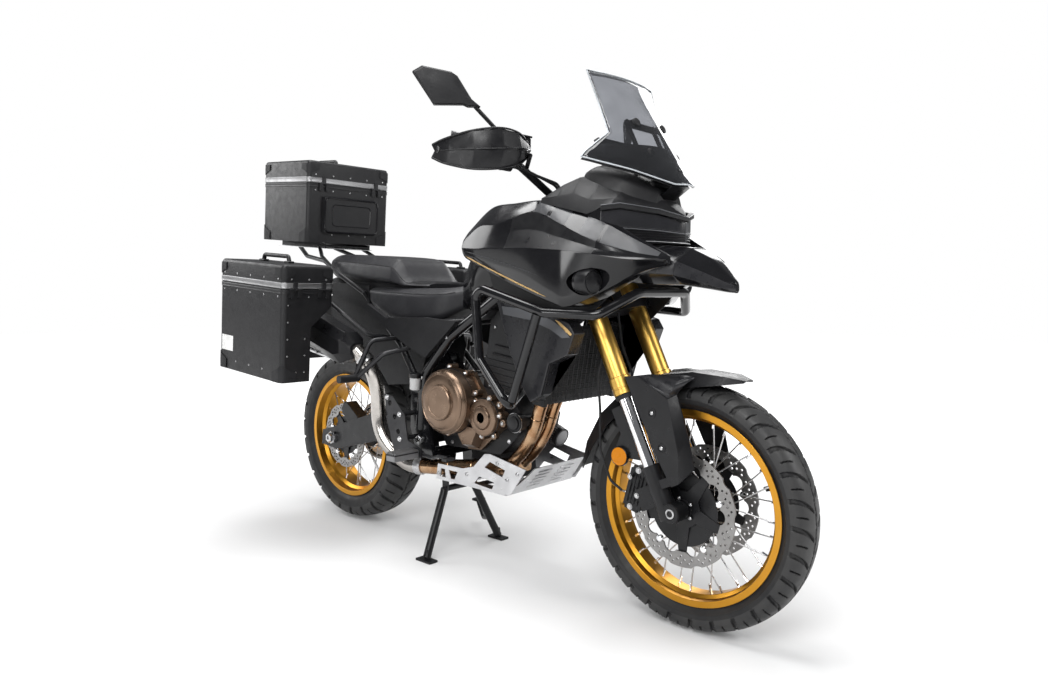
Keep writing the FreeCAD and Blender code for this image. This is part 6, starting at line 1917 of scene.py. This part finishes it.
@dataclass
class RunningGear:
    """Chain, axle nuts, frame bolts, inner mudguard, pegs, radiator guard, rear lamps and skid plate trim."""

    front_sprocket: float = 0.04
    rear_sprocket: float = 0.106
    chain_pitch: float = 0.015875

    def chain(self) -> None:
        """Side plates along both sprockets' common loop, one pitch apart, with their pins.

        The loop is an arc round each sprocket, joined by the two straight lines that touch both.
        """
        front, rear = metres([-105, 84, 395]), DATUM.own(DATUM.rear) * (1, 0, 1) + (0, 0.084, 0)
        gap = front - rear
        base = math.atan2(gap[2], gap[0])
        spread = math.acos((self.rear_sprocket - self.front_sprocket) / math.hypot(gap[0], gap[2]))
        upper, lower = base + spread, base - spread
        loop = np.concatenate([front + circle(np.linspace(upper, lower, 40), self.front_sprocket),
                               rear + circle(np.linspace(lower, upper - 2 * math.pi, 80),
                                             self.rear_sprocket)])
        loop = np.concatenate([loop, loop[:1]])
        run = np.concatenate([[0], np.cumsum(np.linalg.norm(np.diff(loop, axis=0), axis=1))])
        count = int(run[-1] / self.chain_pitch / 2) * 2
        at = np.linspace(0, run[-1], count, endpoint=False)
        spots = np.stack([np.interp(at, run, loop[:, i]) for i in range(3)], axis=1)
        ahead = np.roll(spots, -1, axis=0) - spots
        middle = spots + ahead / 2
        a = np.linspace(0, 2 * math.pi, 14, endpoint=False)
        pitch = float(np.linalg.norm(ahead, axis=1).mean())
        outline = np.stack([np.cos(a) * 0.0074 + np.sign(np.cos(a)) * pitch / 2 * (np.abs(np.cos(a)) > 0.15),
                            np.sin(a) * 0.007 * np.where(np.abs(np.cos(a)) > 0.4, 1.0, 0.86)], axis=1)
        plates = []
        for n in range(count):
            along = ahead[n] / np.linalg.norm(ahead[n])
            flat = middle[n] + outline[:, :1] * along + outline[:, 1:] * np.cross(along, (0, 1, 0))
            out = 0.0082 if n % 2 else 0.0062
            plates += [sheet(flat + (0, s * out, 0), (0, s * 0.0016, 0)) for s in SIDES]
        make_piece("chain_plates", plates, CHAIN_STEEL)
        pin = spun([(-0.0108, 0.0026), (0.0108, 0.0026)], ORIGIN, UP, 8)
        make_piece("chain_pins", scattered(pin, spots, (0.0, 1.0, 0.0)), STEEL)

    def fixings(self) -> None:
        """Rear axle nuts, chain adjusters, peg bolts and frame bolts."""
        axle = DATUM.own(DATUM.rear)
        nuts, bolts = [], []
        for s in SIDES:
            side = np.array([0.0, s, 0.0])
            nuts.append(spun([(0.0, 0.0235), (0.0025, 0.0235), (0.003, 0.0185), (0.013, 0.018),
                              (0.0145, 0.015), (0.0145, 0.008), (0.01, 0.0075)],
                             axle + side * 0.138, side, 6))
            nuts.append(spun([(0.0, 0.0058), (0.03, 0.0058), (0.034, 0.004)],
                             axle + (-0.05, s * 0.114, -0.003), (-1, 0, 0.1), 6))
            for x, z in ((-236, 480), (-236, 400), (-300, 530), (-150, 370)):
                bolts.append(hex_bolt(0.0062, 0.006).standing(side, metres([x, s * 206.2, z])))
            nuts.append(spun([(0.0, 0.0165), (0.003, 0.0165), (0.004, 0.012), (0.01, 0.0115),
                              (0.0115, 0.009)], metres([-195, s * 158, 398]), side, 6))
            for x, z in ((140, 862), (-60, 735), (-178, 600)):
                spot = metres([x, s * (153 if x > 100 else 163), z])
                bolts.append(button_bolt(0.006, 0.0045).standing(side, spot))
        make_piece("axle_nuts", nuts, STEEL, sharp=20)
        make_piece("frame_bolts", bolts, STEEL)

    def radiator_guard(self) -> None:
        """Woven guard bars in front of the radiator core."""
        low, high = metres([341, 0, 566]), metres([373, 0, 778])
        bars = [tube(np.stack([low + (0.006, y, 0), high + (0.006, y, 0)]), 0.0011, 5)
                for y in np.linspace(-0.14, 0.14, 15)]
        for t in np.linspace(0.03, 0.97, 15):
            place = low + (high - low) * t + (0.0072, 0, 0)
            bars.append(tube(np.stack([place + (0, -0.145, 0), place + (0, 0.145, 0)]), 0.0011, 5))
        make_piece("radiator_guard", bars, SATIN_BLACK)

    def inner_mudguard(self) -> None:
        """The dark moulding between the seat rails and the rear tyre: an arch with a wall on each side."""
        axle, half, reach = DATUM.own(DATUM.rear), 0.0865, 0.352
        arch = axle + circle(np.radians(np.linspace(38, 100, 24)), reach)
        top = metres([(-786, 0, 852), (-770, 0, 866), (-600, 0, 872), (-500, 0, 850), (-380, 0, 795),
                      (-268, 0, 772), (-236, 0, 690), (-262, 0, 600), (-330, 0, 560)])
        outline = np.concatenate([top, arch]) * (1, 0, 1)
        for side in SIDES:
            wall = sheet(outline + (0, side * half, 0), (0, side * 0.003, 0))
            make_piece(f"inner_mudguard_{side_name(side)}", wall, MATT_PLASTIC, bevel=0.001, outwards=True)
        roof = np.stack([arch + (0, y, 0) for y in np.linspace(-half, half, 9)], axis=1)
        make_piece("inner_mudguard_arch", grid(roof), MATT_PLASTIC, wall=0.003)

    def pegs(self) -> None:
        """Bright castings of the rider's toothed foot pegs."""
        parts = []
        for s in SIDES:
            for x0, x1, y0, y1, z0, z1 in [(-177, -135.4, 211.6, 306.4, 354.6, 371)] + [
                    (-176.5 + n * 9.0, -172.5 + n * 9.0, 213.6, 304.4, 372, 381.6) for n in range(5)]:
                parts.append(block(metres([x0, s * y0, z0]), metres([x1, s * y1, z1])))
        make_piece("peg_castings", parts, CAST_ALLOY, bevel=0.0008)

    def lamps(self) -> None:
        """Tail lamp lens and the amber turn lamps with their bodies."""
        amber, bodies = [], []
        for s in SIDES:
            side = np.array([0.0, s, 0.02])
            bodies.append(spun([(-0.004, 0.0155), (0.002, 0.0162), (0.042, 0.0165), (0.046, 0.013),
                                (0.0465, 0.005)], metres([-935, s * 110, 768]), side, 28))
            amber.append(spun([(-0.004, 0.015), (0.004, 0.0145), (0.008, 0.011), (0.0095, 0.004)],
                              metres([-949, s * 131, 769]), (-1, 0, 0), 24))
        make_piece("tail_lens", block(metres([-887, -40, 897]), metres([-877, 40, 909])), RED_LENS,
                   bevel=0.0025)
        make_piece("turn_lamp_bodies", bodies, SATIN_BLACK)
        make_piece("turn_lamp_lenses", amber, AMBER)

    def skid(self) -> None:
        """Bolts and pressed louvres of the skid plate."""
        bolts = []
        for s in SIDES:
            for x, z in ((-110, 300), (20, 318), (190, 330), (230, 352), (150, 372)):
                bolts.append(button_bolt(0.0058, 0.004).standing((0, s, 0), metres([x, s * 151.2, z])))
        make_piece("skid_bolts", bolts, STEEL)
        louvres = []
        for number in range(5):
            t = 0.18 + number * 0.15
            x, z = 0.187 + 0.08 * t, 0.2845 + 0.084 * t
            for s in SIDES:
                path = np.array([(x, s * 0.02, z), (x + 0.002, s * 0.05, z), (x, s * 0.08, z)])
                louvres.append(tube(path, 0.0038, 8))
        make_piece("skid_louvres", louvres, BRUSHED_ALLOY)

    def reservoir(self) -> None:
        """The rear brake's fluid bottle with its cap."""
        base = metres([-196, -176, 560])
        bottle = spun([(0.0, 0.012), (0.003, 0.0165), (0.04, 0.018), (0.042, 0.015)], base, (0.05, 0, 1), 32)
        make_piece("brake_reservoir", bottle, CLEAR_TANK)
        cap = spun([(0.04, 0.019), (0.042, 0.02), (0.053, 0.02), (0.0545, 0.018), (0.0545, 0.006)], base,
                   (0.05, 0, 1), 24)
        make_piece("brake_reservoir_cap", cap, SATIN_BLACK)

    def build(self) -> None:
        """All of the running gear's looks."""
        self.chain()
        self.fixings()
        self.inner_mudguard()
        self.pegs()
        self.radiator_guard()
        self.lamps()
        self.skid()
        self.reservoir()


# ---- plain dressing of frame nodes -----------------------------------------------------------
DRESSING: dict[str, tuple[Finish, str, float]] = {
    "front_discs": (DISC_STEEL, "front_wheel", 0.0004), "rear_disc": (DISC_STEEL, "rear_wheel", 0.0004),
    "rear_sprocket": (STEEL, "rear_wheel", 0.0004),
    "fork_clamps": (SATIN_BLACK, "steering", 0.002), "fork_bottoms": (SATIN_BLACK, "steering", 0.0015),
    "front_calipers": (SATIN_BLACK, "steering", 0.0016), "handlebar": (SATIN_BLACK, "steering", 0.0008),
    "main_frame": (GLOSS_BLACK, "chassis", 0.001), "subframe": (SATIN_BLACK, "chassis", 0.0008),
    "axle_and_bolts": (STEEL, "chassis", 0.0008), "engine_block": (ENGINE_BLACK, "chassis", 0.0022),
    "engine_covers": (BRONZE, "chassis", 0.0022), "swingarm": (SATIN_BLACK, "chassis", 0.003),
    "shock_absorber": (DARK_ALLOY, "chassis", 0.0008), "drive_chain": (GRIP_RUBBER, "chassis", 0.0005),
    "rear_caliper": (SATIN_BLACK, "chassis", 0.0016), "silencer": (SATIN_BLACK, "chassis", 0.004),
    "skid_plate": (BRUSHED_ALLOY, "chassis", 0.0015), "radiator": (RADIATOR_MESH, "chassis", 0.0015),
    "crash_bars": (GLOSS_BLACK, "chassis", 0.0008), "foot_rests": (DARK_ALLOY, "chassis", 0.001),
    "dashboard": (MATT_PLASTIC, "chassis", 0.002), "radiator_shrouds": (CHARCOAL, "chassis", 0.004),
    "side_panels": (MATT_PLASTIC, "chassis", 0.004), "tail_unit": (MATT_PLASTIC, "chassis", 0.003),
    "rear_lamps": (SATIN_BLACK, "chassis", 0.003), "luggage_rack": (SATIN_BLACK, "chassis", 0.001),
    "centre_stand": (SATIN_BLACK, "centre_stand", 0.001), "side_stand": (SATIN_BLACK, "side_stand", 0.001),
    "top_box_body": (BOX_BLACK, "chassis", 0.0012), "left_box_body": (BOX_BLACK, "chassis", 0.0012),
    "right_box_body": (BOX_BLACK, "chassis", 0.0012), "top_box_lid": (BOX_BLACK, "top_lid", 0.0012),
    "left_box_lid": (BOX_BLACK, "left_lid", 0.0012), "right_box_lid": (BOX_BLACK, "right_lid", 0.0012),
    "front_lamps": (GLOSS_BLACK, "chassis", 0.0015), "front_fender": (SATIN_BLACK, "steering", 0.002),
    "hand_guards": (SATIN_BLACK, "steering", 0.0), "mirrors": (SATIN_BLACK, "steering", 0.0015),
    "nose_panel": (MATT_PLASTIC, "chassis", 0.003), "brake_hoses": (GRIP_RUBBER, "steering", 0.0)}


def dress_frame() -> None:
    """Give every frame node that keeps its shape its finish and soft edges."""
    for node, (finish, body, width) in DRESSING.items():
        finished_copy(node, finish, body, width)


# ---- studio ----------------------------------------------------------------------------------
@dataclass
class Studio:
    """Pale floor, soft lamps and the camera."""

    eye: Array = field(default_factory=lambda: np.array([1.756, -1.8, 0.889]))
    aim: Array = field(default_factory=lambda: np.array([0.115, 0.0, 0.727]))
    roll: float = 0.441
    focal_length: float = 789.96
    frame_width: float = 1048.0
    floor_lift: float = 0.08            # glow of the floor's middle; its rim glows at 1
    floor_half: float = 14.0
    floor_fade: tuple[float, float] = (1.2, 3.0)

    def camera(self) -> None:
        """A camera at the fitted viewing place."""
        data = bpy.data.cameras.new("camera")
        data.sensor_width = 36.0
        data.lens = self.focal_length / self.frame_width * data.sensor_width
        camera = new_object("camera", data)
        eye = Vector(self.eye + DATUM.shift)
        aim = Vector(self.aim + DATUM.shift)
        turn = (aim - eye).to_track_quat("-Z", "Y").to_matrix()
        roll = Matrix.Rotation(math.radians(self.roll), 3, "Z")
        camera.matrix_world = Matrix.Translation(eye) @ (turn @ roll).to_4x4()
        bpy.context.scene.camera = camera

    def _seen_directly(self, tree: bpy.types.NodeTree, *rays: str) -> bpy.types.NodeSocket:
        """1 for any of the named kinds of ray.

        Args:
            tree: the node tree to add to.
            rays: outputs of the light path node.

        Returns:
            The socket with the answer.
        """
        path = tree.nodes.new("ShaderNodeLightPath")
        found = path.outputs[rays[0]]
        for ray in rays[1:]:
            either = tree.nodes.new("ShaderNodeMath")
            either.operation = "MAXIMUM"
            tree.links.new(found, either.inputs[0])
            tree.links.new(path.outputs[ray], either.inputs[1])
            found = either.outputs[0]
        return found

    def floor(self) -> None:
        """A wide white floor that keeps the machine's shadow and goes over into the white behind."""
        mesh = bpy.data.meshes.new("floor")
        s = self.floor_half
        mesh.from_pydata([(-s, -s, 0), (s, -s, 0), (s, s, 0), (-s, s, 0)], [], [(0, 1, 2, 3)])
        floor = new_object("floor", mesh)
        made = bpy.data.materials.new("studio_floor")
        made.use_nodes = True
        tree = made.node_tree
        shader = tree.nodes["Principled BSDF"]
        set_inputs(shader, {"Base Color": (0.66, 0.66, 0.66, 1), "Roughness": 0.9, "Specular IOR Level": 0.0,
                            "Emission Color": (1, 1, 1, 1)})
        lift = tree.nodes.new("ShaderNodeMath")
        lift.operation = "MULTIPLY"
        place = tree.nodes.new("ShaderNodeTexCoord")
        distance = tree.nodes.new("ShaderNodeVectorMath")
        distance.operation = "LENGTH"
        tree.links.new(place.outputs["Object"], distance.inputs[0])
        spread = tree.nodes.new("ShaderNodeMapRange")
        spread.interpolation_type = "SMOOTHSTEP"
        set_inputs(spread, {"From Min": self.floor_fade[0], "From Max": self.floor_fade[1],
                            "To Min": self.floor_lift, "To Max": 1.0})
        tree.links.new(distance.outputs["Value"], spread.inputs["Value"])
        tree.links.new(spread.outputs["Result"], lift.inputs[1])
        tree.links.new(self._seen_directly(tree, "Is Camera Ray", "Is Glossy Ray", "Is Transmission Ray"),
                       lift.inputs[0])
        tree.links.new(lift.outputs[0], shader.inputs["Emission Strength"])
        mesh.materials.append(made)

    def lamps(self) -> None:
        """Large soft lamps above and on both sides, and a white world."""
        for name, place, aim, size, power in (
                ("key", (2.0, -3.0, 3.2), (0.1, 0, 0.7), 1.9, 125),
                ("fill", (3.6, 1.4, 2.2), (0.3, 0, 0.7), 1.8, 65),
                ("left", (-1.0, 3.4, 2.6), (0, 0, 0.7), 2.2, 60),
                ("top", (-0.3, -0.2, 3.6), (0, 0, 0.6), 2.4, 150),
                ("rear", (-3.4, -1.4, 2.2), (-0.4, 0, 0.7), 1.8, 50),
                ("strip", (0.2, -3.6, 1.5), (0.1, 0, 0.8), 1.1, 30)):
            data = bpy.data.lights.new(name, "AREA")
            data.size = size
            data.energy = power
            lamp = new_object(name, data)
            lamp.location = place
            lamp.rotation_euler = (Vector(aim) - Vector(place)).to_track_quat("-Z", "Y").to_euler()
        world = bpy.context.scene.world or bpy.data.worlds.new("studio")
        bpy.context.scene.world = world
        world.use_nodes = True
        tree = world.node_tree
        tree.nodes.clear()
        out = tree.nodes.new("ShaderNodeOutputWorld")
        dim, bright = tree.nodes.new("ShaderNodeBackground"), tree.nodes.new("ShaderNodeBackground")
        set_inputs(dim, {"Color": (0.55, 0.56, 0.58, 1), "Strength": 0.26})
        set_inputs(bright, {"Color": (1, 1, 1, 1), "Strength": 1.0})
        mix = tree.nodes.new("ShaderNodeMixShader")
        tree.links.new(self._seen_directly(tree, "Is Camera Ray", "Is Transmission Ray"), mix.inputs["Fac"])
        tree.links.new(dim.outputs[0], mix.inputs[1])
        tree.links.new(bright.outputs[0], mix.inputs[2])
        tree.links.new(mix.outputs[0], out.inputs["Surface"])

    def build(self) -> None:
        """Set the whole studio up."""
        self.camera()
        self.floor()
        self.lamps()
        bpy.context.scene.view_settings.view_transform = "Standard"


def main() -> None:
    """Load the frame, dress it and add every sub-assembly."""
    global DATUM
    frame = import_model()
    FRAME_NODES.update(frame["nodes"])
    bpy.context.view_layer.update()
    DATUM = Datum.from_frame()
    front, rear = DATUM.own(DATUM.front), DATUM.own(DATUM.rear)
    Studio().build()
    dress_frame()
    front_rim, rear_rim = dict(bead=0.2413, rim_width=0.084), dict(bead=0.2159, rim_width=0.126)
    Tyre("front_tyre", "front_wheel", front, radius=0.321, width=0.112, blocks=29, **front_rim).build()
    Tyre("rear_tyre", "rear_wheel", rear, radius=0.313, width=0.15, blocks=25, **rear_rim).build()
    Wheel("front", front, discs=[(0.0645, 0.109), (-0.0645, 0.109)], **front_rim).build()
    Wheel("rear", rear, discs=[(-0.0785, 0.084)], **rear_rim).build()
    for part in (SideFairings(), TANK, BEAK, COWL, RIDER_SEAT, PASSENGER_SEAT, SEAT_PAN, Windscreen(),
                 Steering(), Engine(), Headlamp(), RunningGear(), *BOXES):
        part.build()
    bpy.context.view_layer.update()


if __name__ == "__main__":
    logging.basicConfig(level=logging.INFO, format="%(message)s")
    main()
